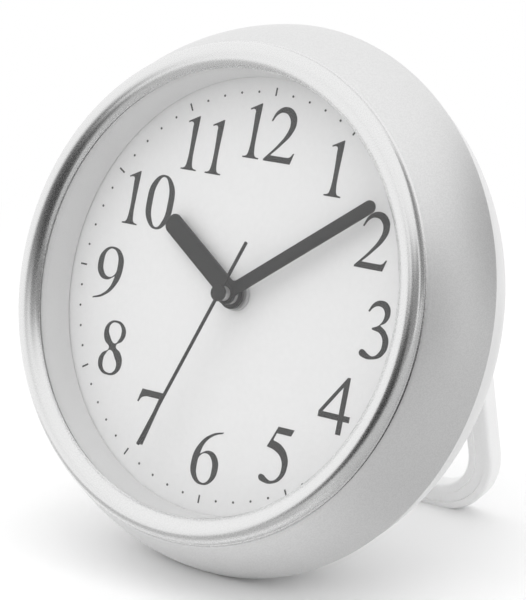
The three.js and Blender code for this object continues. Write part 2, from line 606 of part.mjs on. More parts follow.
// Movement housing: a tray in front, a lid behind the wheels, and the battery bay open to the back
function frontCase() {
  const outer = [[-HOUSING_HALF, HOUSING_BOTTOM], [HOUSING_HALF, HOUSING_TOP]];
  const tray = block([...outer[0], REAR_PLATE_Z + GAP], [...outer[1], HOUSING_Z]);
  const wheels = block([-BAY_HALF, PARTITION_Y, REAR_PLATE_Z], [BAY_HALF, WHEELS_TOP, PLATE_Z]);
  const bay = block([-BAY_HALF, BAY_BOTTOM, REAR_PLATE_Z], [BAY_HALF, BAY_TOP, PLATE_Z]);
  const bush = rod(BUSH_R, PLATE_Z, BUSH_RISE, DISC);
  const postEnd = layerTop(LAYER.motion) - WHEEL_T - GAP;
  const motionPost = rod(MOTION_POST_R, postEnd, PLATE_Z + GAP).translate(MOTION_AT.x, MOTION_AT.y, 0);
  const pivots = [THIRD_AT, FIFTH_AT, ROTOR_AT, SETTING_AT];
  return cut(
    join(cut(tray, wheels, bay), bush, motionPost),
    rod(BUSH_IN_R, PLATE_Z - GAP, BUSH_RISE + GAP, DISC),
    ...pivots.map((at) => pivotHole(at, PLATE_Z - GAP, PLATE_Z + PIVOT_DEPTH)),
  );
}

// Seats that hold the stator and the board off the lid
const SEAT_INSET = SEAT_POST_R + GAP;
const statorSeats = [
  { x: CORE_LEFT + SEAT_INSET, y: SEAT_INSET - POLES_HALF },
  { x: CORE_LEFT + SEAT_INSET, y: STATOR_TOP - SEAT_INSET },
  { x: STATOR_RIGHT - SEAT_INSET, y: STATOR_TOP - SEAT_INSET },
];
const boardSeats = [
  { x: BOARD_LEFT + SEAT_INSET, y: BOARD_TOP - SEAT_INSET },
  { x: BOARD_RIGHT - SEAT_INSET, y: BOARD_TOP - SEAT_INSET },
  { x: BOARD_RIGHT - SEAT_INSET, y: BOARD_BOTTOM + SEAT_INSET },
];

function rearCase() {
  const lid = block([-HOUSING_HALF, BAY_TOP, HOUSING_BACK], [HOUSING_HALF, HOUSING_TOP, REAR_PLATE_Z]);
  const post = (seat, top) => rod(SEAT_POST_R, REAR_PLATE_Z - GAP, top - GAP).translate(seat.x, seat.y, 0);
  const statorPosts = statorSeats.map((seat) => post(seat, MAGNET_Z - STATOR_T / 2));
  const boardPosts = boardSeats.map((seat) => post(seat, BOARD_Z - BOARD.thickness));
  const pivots = [MIDDLE, THIRD_AT, FIFTH_AT, ROTOR_AT];
  return cut(
    join(lid, ...statorPosts, ...boardPosts),
    ...pivots.map((at) => pivotHole(at, REAR_PLATE_Z - PIVOT_DEPTH, REAR_PLATE_Z + GAP)),
    rod(STEM_R + RUN, HOUSING_BACK - GAP, REAR_PLATE_Z + GAP).translate(SETTING_AT.x, SETTING_AT.y, 0),
  );
}
add('movement_front_case', frontCase(), blackPlastic);
add('movement_rear_case', rearCase(), blackPlastic);
add('movement_washer', ring(BUSH_R + RUN, BUSH_R + RUN + WASHER_W, WASHER_Z, LEDGE_Z, DISC), rubber);
add('bush_nut', ring(NUT_IN_R, NUT_IN_R + NUT_WALL, GAP, GAP + NUT_T, DISC), steel);

// Step motor
function stator() {
  const corners = (x0, y0, x1, y1) => [[x0, y0], [x1, y0], [x1, y1], [x0, y1]].map(([x, y]) =>
    new THREE.Vector2(x, y));
  const frame = new THREE.Shape(corners(CORE_LEFT, -POLES_HALF, STATOR_RIGHT, STATOR_TOP));
  const window = corners(CORE_RIGHT, POLES_HALF, STATOR_RIGHT - YOKE_W, WINDOW_TOP);
  const rotorHole = new THREE.Path().absarc(ROTOR_AT.x, ROTOR_AT.y, ROTOR_HOLE_R, 0, 2 * Math.PI, true);
  frame.holes.push(new THREE.Path(window.reverse()), rotorHole);
  return plate(frame, MAGNET_Z - STATOR_T / 2, MAGNET_Z + STATOR_T / 2, DISC / 2);
}
function coil() {
  const [boreX, boreZ] = [CORE_W / 2 + GAP, STATOR_T / 2 + GAP];
  const winding = roundedRectangle(boreX + COIL_BUILD, boreZ + COIL_BUILD, COIL_BUILD);
  winding.holes.push(rectangleHole(boreX, boreZ));
  return weld(plate(winding, -COIL_LENGTH / 2, COIL_LENGTH / 2)
    .rotateX(Math.PI / 2)
    .translate((CORE_LEFT + CORE_RIGHT) / 2, (POLES_HALF + WINDOW_TOP) / 2, MAGNET_Z));
}
add('stator', stator(), steel);
add('coil', coil(), copper);

// Electronics
const boardMiddle = { x: (BOARD_LEFT + BOARD_RIGHT) / 2, y: (BOARD_BOTTOM + BOARD_TOP) / 2 };
const partY = BOARD.height / 4;
const boardSheet = block(
  [BOARD_LEFT, BOARD_BOTTOM, BOARD_Z - BOARD.thickness], [BOARD_RIGHT, BOARD_TOP, BOARD_Z],
);
add('circuit_board', boardSheet, boardGreen);
const partFoot = BOARD_Z + GAP;
const crystal = weld(rod(CRYSTAL_R, -CRYSTAL_LENGTH / 2, CRYSTAL_LENGTH / 2)
  .rotateY(Math.PI / 2)
  .translate(0, 0, partFoot + CRYSTAL_R));
add('quartz_crystal', crystal, steel, { x: boardMiddle.x, y: boardMiddle.y + partY });
const chipHalf = CHIP.side / 2;
const chip = block([-chipHalf, -chipHalf, partFoot], [chipHalf, chipHalf, partFoot + CHIP.thickness]);
add('controller_chip', chip, blackPlastic, { x: boardMiddle.x, y: boardMiddle.y - partY });

// Running train, from the rotor to the centre wheel
const LEFT = Math.PI;
const UP = Math.PI / 2;
const arbor = rod(ARBOR_R, REAR_PIVOT, FRONT_PIVOT);
const rotorPinionZ = layerTop(LAYER.fifth);
const rotorPinion = gear(
  TEETH.rotorPinion, ROTOR_MODULE, rotorPinionZ - WHEEL_T - GAP, rotorPinionZ + GAP,
  meshPhase(LEFT, 0, TEETH.fifthWheel, TEETH.rotorPinion),
);
const magnet = rod(MAGNET_R, MAGNET_Z - MAGNET_T / 2, MAGNET_Z + MAGNET_T / 2, DISC);
add('rotor', join(arbor, rotorPinion, magnet), steel, ROTOR_AT);
const fifthPhase = meshPhase(LEFT, 0, TEETH.secondWheel, TEETH.fifthPinion);
const fifthWheel = wheelAt(TEETH.fifthWheel, ROTOR_MODULE, LAYER.fifth, 0);
const fifthPinion = pinionAt(TEETH.fifthPinion, FIFTH_MODULE, LAYER.fifth, LAYER.second, fifthPhase);
add('fifth_wheel', join(arbor, fifthWheel, fifthPinion), gearPlastic, FIFTH_AT);
const secondWheel = wheelAt(TEETH.secondWheel, FIFTH_MODULE, LAYER.second, 0);
const secondPinion = pinionAt(TEETH.secondPinion, THIRD_MODULE, LAYER.second, LAYER.third, 0);
const secondArbor = rod(ARBOR_R, REAR_PIVOT, SECOND_Z + SECOND_BOSS_H / 2);
add('second_wheel', join(secondArbor, secondWheel, secondPinion), gearPlastic);
const thirdPhase = meshPhase(UP, 0, TEETH.secondPinion, TEETH.thirdWheel);
const thirdWheel = wheelAt(TEETH.thirdWheel, THIRD_MODULE, LAYER.third, thirdPhase);
const thirdPinion = pinionAt(TEETH.thirdPinion, CENTRE_MODULE, LAYER.third, LAYER.centre, 0);
add('third_wheel', join(arbor, thirdWheel, thirdPinion), gearPlastic, THIRD_AT);
const centrePhase = meshPhase(-UP, 0, TEETH.thirdPinion, TEETH.centreWheel);
add('centre_wheel', wheelAt(TEETH.centreWheel, CENTRE_MODULE, LAYER.centre, centrePhase, HOUR_IN_R), brass);

// Motion work: the minute tube slips in the centre wheel when the hands are set
const minuteFoot = layerTop(LAYER.centre) - WHEEL_T - GAP;
const minutePinionZ = layerTop(LAYER.motion) - WHEEL_T - RUN;
const settingTop = layerTop(LAYER.motion) + RUN;
const minuteTop = MINUTE_Z + HAND_T;
const minutePinion = gear(TEETH.minutePinion, MOTION_MODULE, minutePinionZ, settingTop, 0);
const minuteBore = rod(MINUTE_IN_R, minuteFoot - GAP, minuteTop + GAP);
const minuteTube = cut(join(rod(MINUTE_R, minuteFoot, minuteTop), minutePinion), minuteBore);
add('minute_tube', minuteTube, brass);
const clutchZ = (minutePinionZ + layerTop(LAYER.centre) - CLUTCH_T) / 2;
add('clutch_spring', ring(MINUTE_R + RUN, CLUTCH_R, clutchZ, clutchZ + CLUTCH_T, DISC), steel);
const motionPhase = meshPhase(0, 0, TEETH.minutePinion, TEETH.motionWheel);
const motionBore = rod(MOTION_POST_R + RUN, REAR_PLATE_Z, 0);
const motionWheel = wheelAt(TEETH.motionWheel, MOTION_MODULE, LAYER.motion, motionPhase);
const motionPinion = pinionAt(TEETH.motionPinion, HOUR_MODULE, LAYER.motion, LAYER.hour, 0);
add('motion_wheel', cut(join(motionWheel, motionPinion), motionBore), gearPlastic, MOTION_AT);
const hourPhase = meshPhase(LEFT, 0, TEETH.motionPinion, TEETH.hourWheel);
const hourFoot = layerTop(LAYER.hour) - WHEEL_T;
const hourTube = rod(HOUR_R, hourFoot, MINUTE_COLLET_Z - GAP);
const hourBore = rod(HOUR_IN_R, hourFoot - GAP, MINUTE_COLLET_Z);
const hourWheel = wheelAt(TEETH.hourWheel, HOUR_MODULE, LAYER.hour, hourPhase);
add('hour_wheel', cut(join(hourTube, hourWheel), hourBore), gearPlastic);

// Setting shaft and knob
const settingPhase = meshPhase(0, motionPhase, TEETH.motionWheel, TEETH.settingPinion);
const settingPinion = gear(TEETH.settingPinion, MOTION_MODULE, minutePinionZ, settingTop, settingPhase);
const stemEnd = BACK_Z - GAP - STEM_IN_KNOB;
const stem = rod(STEM_R, stemEnd, minutePinionZ + WHEEL_T / 2);
const settingPivot = rod(ARBOR_R, minutePinionZ, FRONT_PIVOT);
add('setting_shaft', join(settingPivot, settingPinion, stem), gearPlastic, SETTING_AT);
function knob() {
  const grip = sweep(0, 2 * Math.PI, 4 * KNOB_FLUTES, (a) => {
    const radius = KNOB_R - (KNOB_FLUTE_DEPTH / 2) * (1 - Math.cos(KNOB_FLUTES * a));
    return new THREE.Vector2(radius * Math.cos(a), radius * Math.sin(a));
  }).slice(1);
  const knobTop = BACK_Z - GAP;
  const socket = rod(STEM_R + RUN, stemEnd - GAP, knobTop + GAP);
  return cut(plate(new THREE.Shape(grip), knobTop - KNOB_H, knobTop), socket);
}
add('setting_knob', knob(), whitePlastic, SETTING_AT);
const sealFoot = BACK_Z + GAP;
add('knob_seal', ring(STEM_R + RUN, STEM_R + SEAL_W, sealFoot, sealFoot + SEAL_T, SMALL), rubber, SETTING_AT);

// Hands point to the twelve and are turned to the time shown
const clockwise = (degrees) => -rad(degrees);
const SECONDS_TURN = clockwise(SECOND_HAND_DEG);
const MINUTES_TURN = clockwise(MINUTE_HAND_DEG);
const HOURS_TURN = clockwise(HOUR_HAND_DEG);

function handBar(width, length, corner, z0, z1) {
  const bar = new THREE.Shape();
  const half = width / 2;
  bar.moveTo(-half, 0);
  bar.lineTo(half, 0);
  bar.absarc(half - corner, length - corner, corner, 0, Math.PI / 2);
  bar.absarc(corner - half, length - corner, corner, Math.PI / 2, Math.PI);
  return plate(bar, z0, z1);
}

function tubeHand(bar, hubR, tubeR, colletZ, plateZ) {
  const top = plateZ + HAND_T;
  const hub = rod(hubR, plateZ, top, DISC);
  const collet = rod(tubeR + RUN + TUBE_WALL, colletZ, top, DISC);
  return cut(join(bar, hub, collet), rod(tubeR + RUN, colletZ - GAP, top + GAP));
}
const hourBar = handBar(HOUR_W, RING_R - HOUR_SHORT, TIP_CORNER_R, HOUR_Z, HOUR_Z + HAND_T);
const minuteBar = handBar(MINUTE_W, RING_R - MINUTE_SHORT, MINUTE_W / 2 - WELD, MINUTE_Z, minuteTop);
const hourHand = tubeHand(hourBar, HOUR_HUB_R, HOUR_R, HOUR_COLLET_Z, HOUR_Z);
const minuteHand = tubeHand(minuteBar, MINUTE_HUB_R, MINUTE_R, MINUTE_COLLET_Z, MINUTE_Z);
add('hour_hand', hourHand, handGrey, MIDDLE, HOURS_TURN);
add('minute_hand', minuteHand, handGrey, MIDDLE, MINUTES_TURN);

function secondHand() {
  const half = SECOND_W / 2;
  const foot = SECOND_Z + GAP;
  const needle = block([-half, -SECOND_TAIL, foot], [half, RING_R - SECOND_SHORT, foot + SECOND_T]);
  const boss = rod(SECOND_BOSS_R, SECOND_Z, SECOND_Z + SECOND_BOSS_H, DISC);
  const collet = rod(SECOND_COLLET_R, SECOND_COLLET_Z, foot, DISC);
  const bore = rod(ARBOR_R + RUN, SECOND_COLLET_Z - GAP, SECOND_Z + SECOND_BOSS_H / 2 + GAP);
  return cut(join(needle, boss, collet), bore);
}
add('second_hand', secondHand(), handGrey, MIDDLE, SECONDS_TURN);

// Battery: a cell lying along x, its nub to the right, between two sprung contacts
function battery() {
  const can = rod(CELL_R, -CELL_HALF, CELL_HALF - CELL_NUB_LENGTH, DISC);
  const nub = rod(CELL_NUB_R, 0, CELL_HALF);
  return weld(join(can, nub).rotateY(Math.PI / 2).translate(0, CELL_Y, CELL_Z));
}
add('battery', battery(), cellSleeve);

function contact(side) {
  const [inner, outer] = [BAY_HALF - GAP - CONTACT_T, BAY_HALF - GAP];
  const half = CONTACT_W / 2;
  const sheet = block([inner, -half, -half], [outer, half, half]);
  const bump = rod(CONTACT_BUMP_R, CELL_HALF + GAP, outer - CONTACT_T / 2).rotateY(Math.PI / 2);
  const facing = side > 0 ? 0 : Math.PI;
  return weld(join(sheet, weld(bump)).rotateZ(facing).translate(0, CELL_Y, CELL_Z));
}
add('battery_contact_positive', contact(1), steel);
add('battery_contact_negative', contact(-1), steel);

function batteryDoor() {
  const outline = roundedRectangle(REBATE.x - GAP, REBATE.y - GAP, WELL_WALL, CELL_Y);
  const lid = plate(outline, BACK_Z, DOOR_INNER_Z);
  const plugX = WELL.x - GAP;
  const plugY = WELL.y - GAP;
  const plugZ = [DOOR_INNER_Z - GAP, DOOR_INNER_Z + DOOR_PLUG_DEPTH];
  const plug = block([-plugX, CELL_Y - plugY, plugZ[0]], [plugX, CELL_Y + plugY, plugZ[1]]);
  const [inX, inY] = [plugX - DOOR_PLUG_WALL, plugY - DOOR_PLUG_WALL];
  return cut(join(lid, plug), block([-inX, CELL_Y - inY, DOOR_INNER_Z], [inX, CELL_Y + inY, plugZ[1] + GAP]));
}
add('battery_door', batteryDoor(), whitePlastic);
function doorGasket() {
  const seal = roundedRectangle(REBATE.x - 2 * GAP, REBATE.y - 2 * GAP, WELL_WALL, CELL_Y);
  seal.holes.push(rectangleHole(WELL.x + GAP, WELL.y + GAP, CELL_Y));
  return plate(seal, DOOR_INNER_Z + GAP, DOOR_INNER_Z + GAP + DOOR_GASKET_T);
}
add('door_gasket', doorGasket(), rubber);

// Stand: a U in its own plane, hung on two pins, its bar cut flat where it meets the table
const stand = new THREE.Group();
stand.position.set(0, HINGE_UP, HINGE_Z);
stand.rotation.x = OPEN;
head.add(stand);

function standLoop() {
  const edge = STAND_EDGE_R;
  const [outX, inX] = [STAND_REACH - edge, LEG_IN + edge];
  const top = STAND_BAR_T / 2 - edge;
  const foot = -LEG_LENGTH + edge;
  const outR = STAND_CORNER_R - edge;
  const inR = STAND_CORNER_R - STAND_BAR_W + edge;
  const centre = { x: STAND_REACH - STAND_CORNER_R, y: STAND_CORNER_R - LEG_LENGTH };
  const bow = new THREE.Shape();
  bow.moveTo(-outX, top);
  bow.absarc(-centre.x, centre.y, outR, Math.PI, 1.5 * Math.PI);
  bow.lineTo(centre.x, foot);
  bow.absarc(centre.x, centre.y, outR, 1.5 * Math.PI, 2 * Math.PI);
  bow.lineTo(outX, top);
  bow.lineTo(inX, top);
  bow.absarc(centre.x, centre.y, inR, 0, -Math.PI / 2, true);
  bow.absarc(-centre.x, centre.y, inR, -Math.PI / 2, -Math.PI, true);
  bow.lineTo(-inX, top);
  const depth = STAND_BAR_T - 2 * edge;
  const bevel = { bevelEnabled: true, bevelSize: edge, bevelThickness: edge, bevelSegments: 2 };
  const solid = new THREE.ExtrudeGeometry(bow, { depth, curveSegments: ARC, ...bevel });
  const loop = weld(solid.translate(0, 0, -depth / 2));
  const pins = [LUG_IN, -LEG_IN - edge].map((x) =>
    weld(rod(HINGE_PIN_R, x, x + LEG_IN + edge - LUG_IN).rotateY(Math.PI / 2)));
  stance.updateMatrixWorld(true);
  const table = block([-CASE_R, -CASE_R, -2 * CASE_R], [CASE_R, 2 * CASE_R, 0]);
  const toStand = stand.matrixWorld.clone().invert();
  return cut(join(loop, ...pins), weld(table.applyMatrix4(toStand)));
}
add('stand_loop', standLoop(), whitePlastic, MIDDLE, 0, stand);

// The origin lies under the middle of the clock, on the table
const box = new THREE.Box3().setFromObject(clock, true);
stance.position.y = -(box.min.y + box.max.y) / 2;

export default clock;
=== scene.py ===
"""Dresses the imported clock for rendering: shells, dial print, hands, back, stand and studio.

Lengths of the clock are in millimetres along its head's own axes, and those of the studio in metres.
"""

import json
import logging
import math
from dataclasses import dataclass
from enum import Enum
from typing import Iterable, NamedTuple, Sequence

import bmesh
import bpy
from mathutils import Matrix, Vector


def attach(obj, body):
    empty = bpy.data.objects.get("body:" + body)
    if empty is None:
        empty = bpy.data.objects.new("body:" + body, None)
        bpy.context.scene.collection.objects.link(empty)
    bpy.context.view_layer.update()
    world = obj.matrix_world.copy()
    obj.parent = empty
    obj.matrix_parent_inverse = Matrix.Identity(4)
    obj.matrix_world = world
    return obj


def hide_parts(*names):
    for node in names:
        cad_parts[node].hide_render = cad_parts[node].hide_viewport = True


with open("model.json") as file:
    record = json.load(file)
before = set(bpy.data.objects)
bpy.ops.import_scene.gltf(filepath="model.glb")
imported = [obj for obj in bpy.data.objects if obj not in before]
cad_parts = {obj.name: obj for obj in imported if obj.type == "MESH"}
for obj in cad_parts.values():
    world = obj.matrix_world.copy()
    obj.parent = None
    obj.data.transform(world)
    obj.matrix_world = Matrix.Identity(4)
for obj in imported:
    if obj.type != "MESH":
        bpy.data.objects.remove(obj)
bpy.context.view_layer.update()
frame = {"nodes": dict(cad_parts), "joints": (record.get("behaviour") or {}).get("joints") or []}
LOG = logging.getLogger("clock")

MM = 0.001
TURN = 2 * math.pi
QUARTER = math.pi / 2
FINE_TURN = 192  # segments round the case
SMALL_TURN = 48  # segments round hubs, knobs and screws
ARC_STEPS = 10  # steps of a quarter round
SOFT_STEPS = 4  # steps of a small round
WELD = 1e-4  # millimetres
OVERSHOOT = 1.0  # millimetres that a cutting tool runs past a face
SMOOTH_ANGLE = math.radians(32)
GRAIN_BAND = (0.3, 0.7)  # heights of the grain between which its colour changes
GRAIN_DETAIL = 4.0  # octaves of a soft grain
BRUSH_STRETCH = 0.04  # scale of a brushed grain along x
WHITE = (1.0, 1.0, 1.0, 1.0)
JOINTS = {joint["name"]: joint for joint in frame["joints"]}

Point = tuple[float, float]


def srgb(level: float, tint: tuple[float, float, float] = (1.0, 1.0, 1.0)) -> tuple[float, ...]:
    """Turns a display grey and a tint into a linear colour.

    Args:
        level: Display grey from 0 to 255.
        tint: Factors on red, green and blue.

    Returns:
        Linear red, green, blue and alpha.
    """
    share = level / 255
    linear = share / 12.92 if share <= 0.04045 else ((share + 0.055) / 1.055) ** 2.4
    return (*(linear * part for part in tint), 1.0)


def head_place() -> Matrix:
    """Finds the clock head in the frame from the second hand's axis.

    Returns:
        Matrix from head millimetres, with x to the three, y to the twelve and z forward, to metres.
    """
    axis = Vector(JOINTS["second_turn"]["axis"]).normalized()
    side = Vector((1.0, 0.0, 0.0))
    turn = Matrix((side, axis.cross(side), axis)).transposed().to_4x4()
    return Matrix.Translation(JOINTS["second_turn"]["pos_m"]) @ turn @ Matrix.Scale(MM, 4)


HEAD = head_place()
STAND_HINGE = HEAD.inverted() @ Vector(JOINTS["stand_fold"]["pos_m"])


def mixed(
    tree: bpy.types.NodeTree,
    share: bpy.types.NodeSocket,
    first: bpy.types.NodeSocket,
    second: bpy.types.NodeSocket,
) -> bpy.types.NodeSocket:
    """Mixes two shaders.

    Args:
        tree: Node tree that is changed.
        share: Share of the second shader.
        first: First shader.
        second: Second shader.

    Returns:
        The socket of the mix.
    """
    mix = tree.nodes.new("ShaderNodeMixShader")
    tree.links.new(share, mix.inputs["Fac"])
    tree.links.new(first, mix.inputs[1])
    tree.links.new(second, mix.inputs[2])
    return mix.outputs["Shader"]


def either(
    tree: bpy.types.NodeTree,
    first: bpy.types.NodeSocket,
    second: bpy.types.NodeSocket,
) -> bpy.types.NodeSocket:
    """Joins two conditions of 0 or 1.

    Args:
        tree: Node tree that is changed.
        first: First condition.
        second: Second condition.

    Returns:
        The socket that is 1 where one of them is.
    """
    larger = tree.nodes.new("ShaderNodeMath")
    larger.operation = "MAXIMUM"
    tree.links.new(first, larger.inputs[0])
    tree.links.new(second, larger.inputs[1])
    return larger.outputs["Value"]


def eased(
    tree: bpy.types.NodeTree,
    value: bpy.types.NodeSocket,
    start: float,
    end: float,
) -> bpy.types.NodeSocket:
    """Turns a value into a share that grows softly from 0 to 1.

    Args:
        tree: Node tree that is changed.
        value: Socket of the value.
        start: Value up to which the share is 0.
        end: Value from which the share is 1.

    Returns:
        The socket of the share.
    """
    share = tree.nodes.new("ShaderNodeMapRange")
    share.interpolation_type = "SMOOTHSTEP"
    share.inputs["From Min"].default_value = start
    share.inputs["From Max"].default_value = end
    tree.links.new(value, share.inputs["Value"])
    return share.outputs["Result"]


class Pattern(Enum):
    """How the grain of a finish is laid out."""

    CLOUD = "cloud"  # soft mottling, as in moulded plastic or paint
    SPECKLE = "speckle"  # fine separate grains, as in metallic paint
    BRUSHED = "brushed"  # stretched along x


@dataclass(frozen=True)
class Finish:
    """A procedural surface: two near colours, a spread of roughness and a fine relief."""

    name: str
    slot: str
    light: tuple[float, ...]
    dark: tuple[float, ...]
    rough: tuple[float, float]
    grain_mm: float
    metallic: float = 0.0
    relief_mm: float = 0.005
    pattern: Pattern = Pattern.CLOUD
    specular: float = 0.5

    def material(self) -> bpy.types.Material:
        """Makes the material once, and finds it again after that.

        Returns:
            The material of this finish.
        """
        found = bpy.data.materials.get(self.name)
        if found is not None:
            return found
        made = bpy.data.materials.new(self.name)
        made.use_nodes = True
        nodes, links = made.node_tree.nodes, made.node_tree.links
        shader = nodes["Principled BSDF"]
        shader.inputs["Metallic"].default_value = self.metallic
        shader.inputs["Specular IOR Level"].default_value = self.specular
        place = nodes.new("ShaderNodeTexCoord")
        mapping = nodes.new("ShaderNodeMapping")
        links.new(place.outputs["Object"], mapping.inputs["Vector"])
        if self.pattern is Pattern.BRUSHED:
            mapping.inputs["Scale"].default_value = (BRUSH_STRETCH, 1.0, 1.0)
        grain = self._grain(nodes, links, mapping)
        colours = nodes.new("ShaderNodeValToRGB")
        low, high = colours.color_ramp.elements
        low.color, low.position = self.dark, GRAIN_BAND[0]
        high.color, high.position = self.light, GRAIN_BAND[1]
        links.new(grain, colours.inputs["Fac"])
        links.new(colours.outputs["Color"], shader.inputs["Base Color"])
        spread = nodes.new("ShaderNodeMapRange")
        spread.inputs["To Min"].default_value = self.rough[0]
        spread.inputs["To Max"].default_value = self.rough[1]
        links.new(grain, spread.inputs["Value"])
        links.new(spread.outputs["Result"], shader.inputs["Roughness"])
        bump = nodes.new("ShaderNodeBump")
        bump.inputs["Distance"].default_value = self.relief_mm * MM
        links.new(grain, bump.inputs["Height"])
        links.new(bump.outputs["Normal"], shader.inputs["Normal"])
        return made

    def _grain(
        self,
        nodes: bpy.types.Nodes,
        links: bpy.types.NodeLinks,
        mapping: bpy.types.Node,
    ) -> bpy.types.NodeSocket:
        """Adds the grain pattern to a material.

        Args:
            nodes: Nodes of the material.
            links: Links of the material.
            mapping: Node that gives the place on the piece.

        Returns:
            The socket with the grain's height from 0 to 1.
        """
        scale = 1 / (self.grain_mm * MM)
        if self.pattern is Pattern.SPECKLE:
            cells = nodes.new("ShaderNodeTexVoronoi")
            cells.inputs["Scale"].default_value = scale
            links.new(mapping.outputs["Vector"], cells.inputs["Vector"])
            tone = nodes.new("ShaderNodeSeparateColor")
            links.new(cells.outputs["Color"], tone.inputs["Color"])
            return tone.outputs["Red"]
        noise = nodes.new("ShaderNodeTexNoise")
        noise.inputs["Scale"].default_value = scale
        noise.inputs["Detail"].default_value = GRAIN_DETAIL
        links.new(mapping.outputs["Vector"], noise.inputs["Vector"])
        return noise.outputs["Fac"]


@dataclass(frozen=True)
class ClearGlass:
    """Clear glass with a faint haze, which lets the studio light through to the dial."""

    name: str
    slot: str
    index: float
    haze_scale: float
    haze_rough: float

    def material(self) -> bpy.types.Material:
        """Makes the material.

        Returns:
            The material of the glass.
        """
        made = bpy.data.materials.new(self.name)
        made.use_nodes = True
        tree = made.node_tree
        nodes, links = tree.nodes, tree.links
        glass = nodes["Principled BSDF"]
        glass.inputs["Base Color"].default_value = WHITE
        glass.inputs["Transmission Weight"].default_value = 1.0
        glass.inputs["IOR"].default_value = self.index
        place = nodes.new("ShaderNodeTexCoord")
        haze = nodes.new("ShaderNodeTexNoise")
        haze.inputs["Scale"].default_value = self.haze_scale
        spread = nodes.new("ShaderNodeMapRange")
        spread.inputs["To Max"].default_value = self.haze_rough
        links.new(place.outputs["Object"], haze.inputs["Vector"])
        links.new(haze.outputs["Fac"], spread.inputs["Value"])
        links.new(spread.outputs["Result"], glass.inputs["Roughness"])
        clear = nodes.new("ShaderNodeBsdfTransparent")
        path = nodes.new("ShaderNodeLightPath")
        lit = either(tree, path.outputs["Is Shadow Ray"], path.outputs["Is Diffuse Ray"])
        surface = mixed(tree, lit, glass.outputs["BSDF"], clear.outputs["BSDF"])
        links.new(surface, nodes["Material Output"].inputs["Surface"])
        return made


SATIN_SILVER = Finish(
    "satin silver", "satin_aluminium", srgb(238), srgb(232), (0.24, 0.3), 0.3, 1.0, 0.0007,
)
SILVER_PAINT = Finish(
    "silver paint", "silver_paint", srgb(232), srgb(224),
    (0.42, 0.48), 0.24, 0.85, 0.003, Pattern.SPECKLE,
)
WHITE_PLASTIC = Finish(
    "white plastic", "white_plastic", srgb(224), srgb(221), (0.30, 0.36), 0.5, 0.0, 0.002,
)
# Painted light: the same white plastic as the cover, painted brighter to stand in for the bounce light
# that the stand's shaded faces lack.
STAND_PLASTIC_PAINTED_LIGHT = Finish(
    "stand plastic with painted light", "white_plastic", srgb(242), srgb(239), (0.30, 0.36), 0.5, 0.0, 0.002,
)
RING_PLASTIC = Finish(
    "ring plastic", "white_plastic", srgb(207), srgb(204), (0.42, 0.5), 0.5, 0.0, 0.002,
)
DIAL_PAPER = Finish("dial paper", "dial_white", srgb(222), srgb(219), (0.55, 0.65), 1.5, 0.0, 0.004)
DIAL_INK = Finish("dial ink", "hand_grey", srgb(34), srgb(30), (0.5, 0.6), 0.8, 0.0, 0.002)
HAND_PAINT = Finish(
    "hand paint", "hand_grey", srgb(24), srgb(20), (0.38, 0.48), 1.2, 0.0, 0.0008, specular=0.3,
)
RUBBER = Finish("black rubber", "black_rubber", srgb(52), srgb(42), (0.75, 0.9), 0.6, 0.0, 0.02)
BRASS = Finish(
    "turned brass", "brass", srgb(226, (1.0, 0.86, 0.55)), srgb(208, (1.0, 0.84, 0.5)),
    (0.22, 0.36), 0.3, 1.0,
)
STEEL = Finish(
    "bright steel", "steel", srgb(206), srgb(184), (0.22, 0.4), 0.4, 1.0, 0.004, Pattern.BRUSHED,
)
PLATED = Finish("plated metal", "steel", srgb(186), srgb(178), (0.3, 0.4), 0.4, 0.5)
GEAR_PLASTIC = Finish(
    "gear plastic", "gear_plastic", srgb(240, (1, 0.98, 0.9)), srgb(230, (1, 0.97, 0.88)),
    (0.4, 0.55), 1.0,
)
BLACK_PLASTIC = Finish(
    "black plastic", "black_plastic", srgb(44), srgb(34), (0.4, 0.55), 0.7, 0.0, 0.012,
)
COPPER = Finish(
    "enamelled wire", "copper_winding", srgb(200, (1.0, 0.55, 0.32)), srgb(150, (1.0, 0.5, 0.3)),
    (0.25, 0.4), 0.25, 0.9, 0.03, Pattern.BRUSHED,
)
BOARD_LACQUER = Finish(
    "board lacquer", "board_green", srgb(120, (0.3, 1.0, 0.5)), srgb(104, (0.28, 1.0, 0.48)),
    (0.3, 0.45), 1.2,
)
CELL_SLEEVE = Finish(
    "cell sleeve", "cell_sleeve", srgb(186), srgb(176), (0.25, 0.35), 2.0, 0.5, 0.004,
)
CLEAR_GLASS = ClearGlass("lens glass", "lens_glass", 1.46, 60.0, 0.02)

CARD_DARK = Finish("card dark", "black_plastic", srgb(24), srgb(20), (0.8, 0.9), 40.0)
CARD_GREY = Finish("card grey", "black_plastic", srgb(128), srgb(122), (0.8, 0.9), 40.0)
CARD_PALE = Finish("card pale", "white_plastic", srgb(180), srgb(174), (0.8, 0.9), 40.0)

KEPT_NODES = {
    RUBBER: ("lens_gasket", "cover_gasket", "movement_washer", "knob_seal", "door_gasket"),
    STEEL: (
        "cover_screw_1", "cover_screw_2", "cover_screw_3", "cover_screw_4", "stator", "quartz_crystal",
        "rotor", "clutch_spring", "battery_contact_positive", "battery_contact_negative",
    ),
    BRASS: ("centre_wheel", "minute_tube"),
    GEAR_PLASTIC: (
        "fifth_wheel", "second_wheel", "third_wheel", "motion_wheel", "hour_wheel", "setting_shaft",
    ),
    BLACK_PLASTIC: ("movement_front_case", "movement_rear_case", "controller_chip"),
    COPPER: ("coil",),
    BOARD_LACQUER: ("circuit_board",),
    CELL_SLEEVE: ("battery",),
}


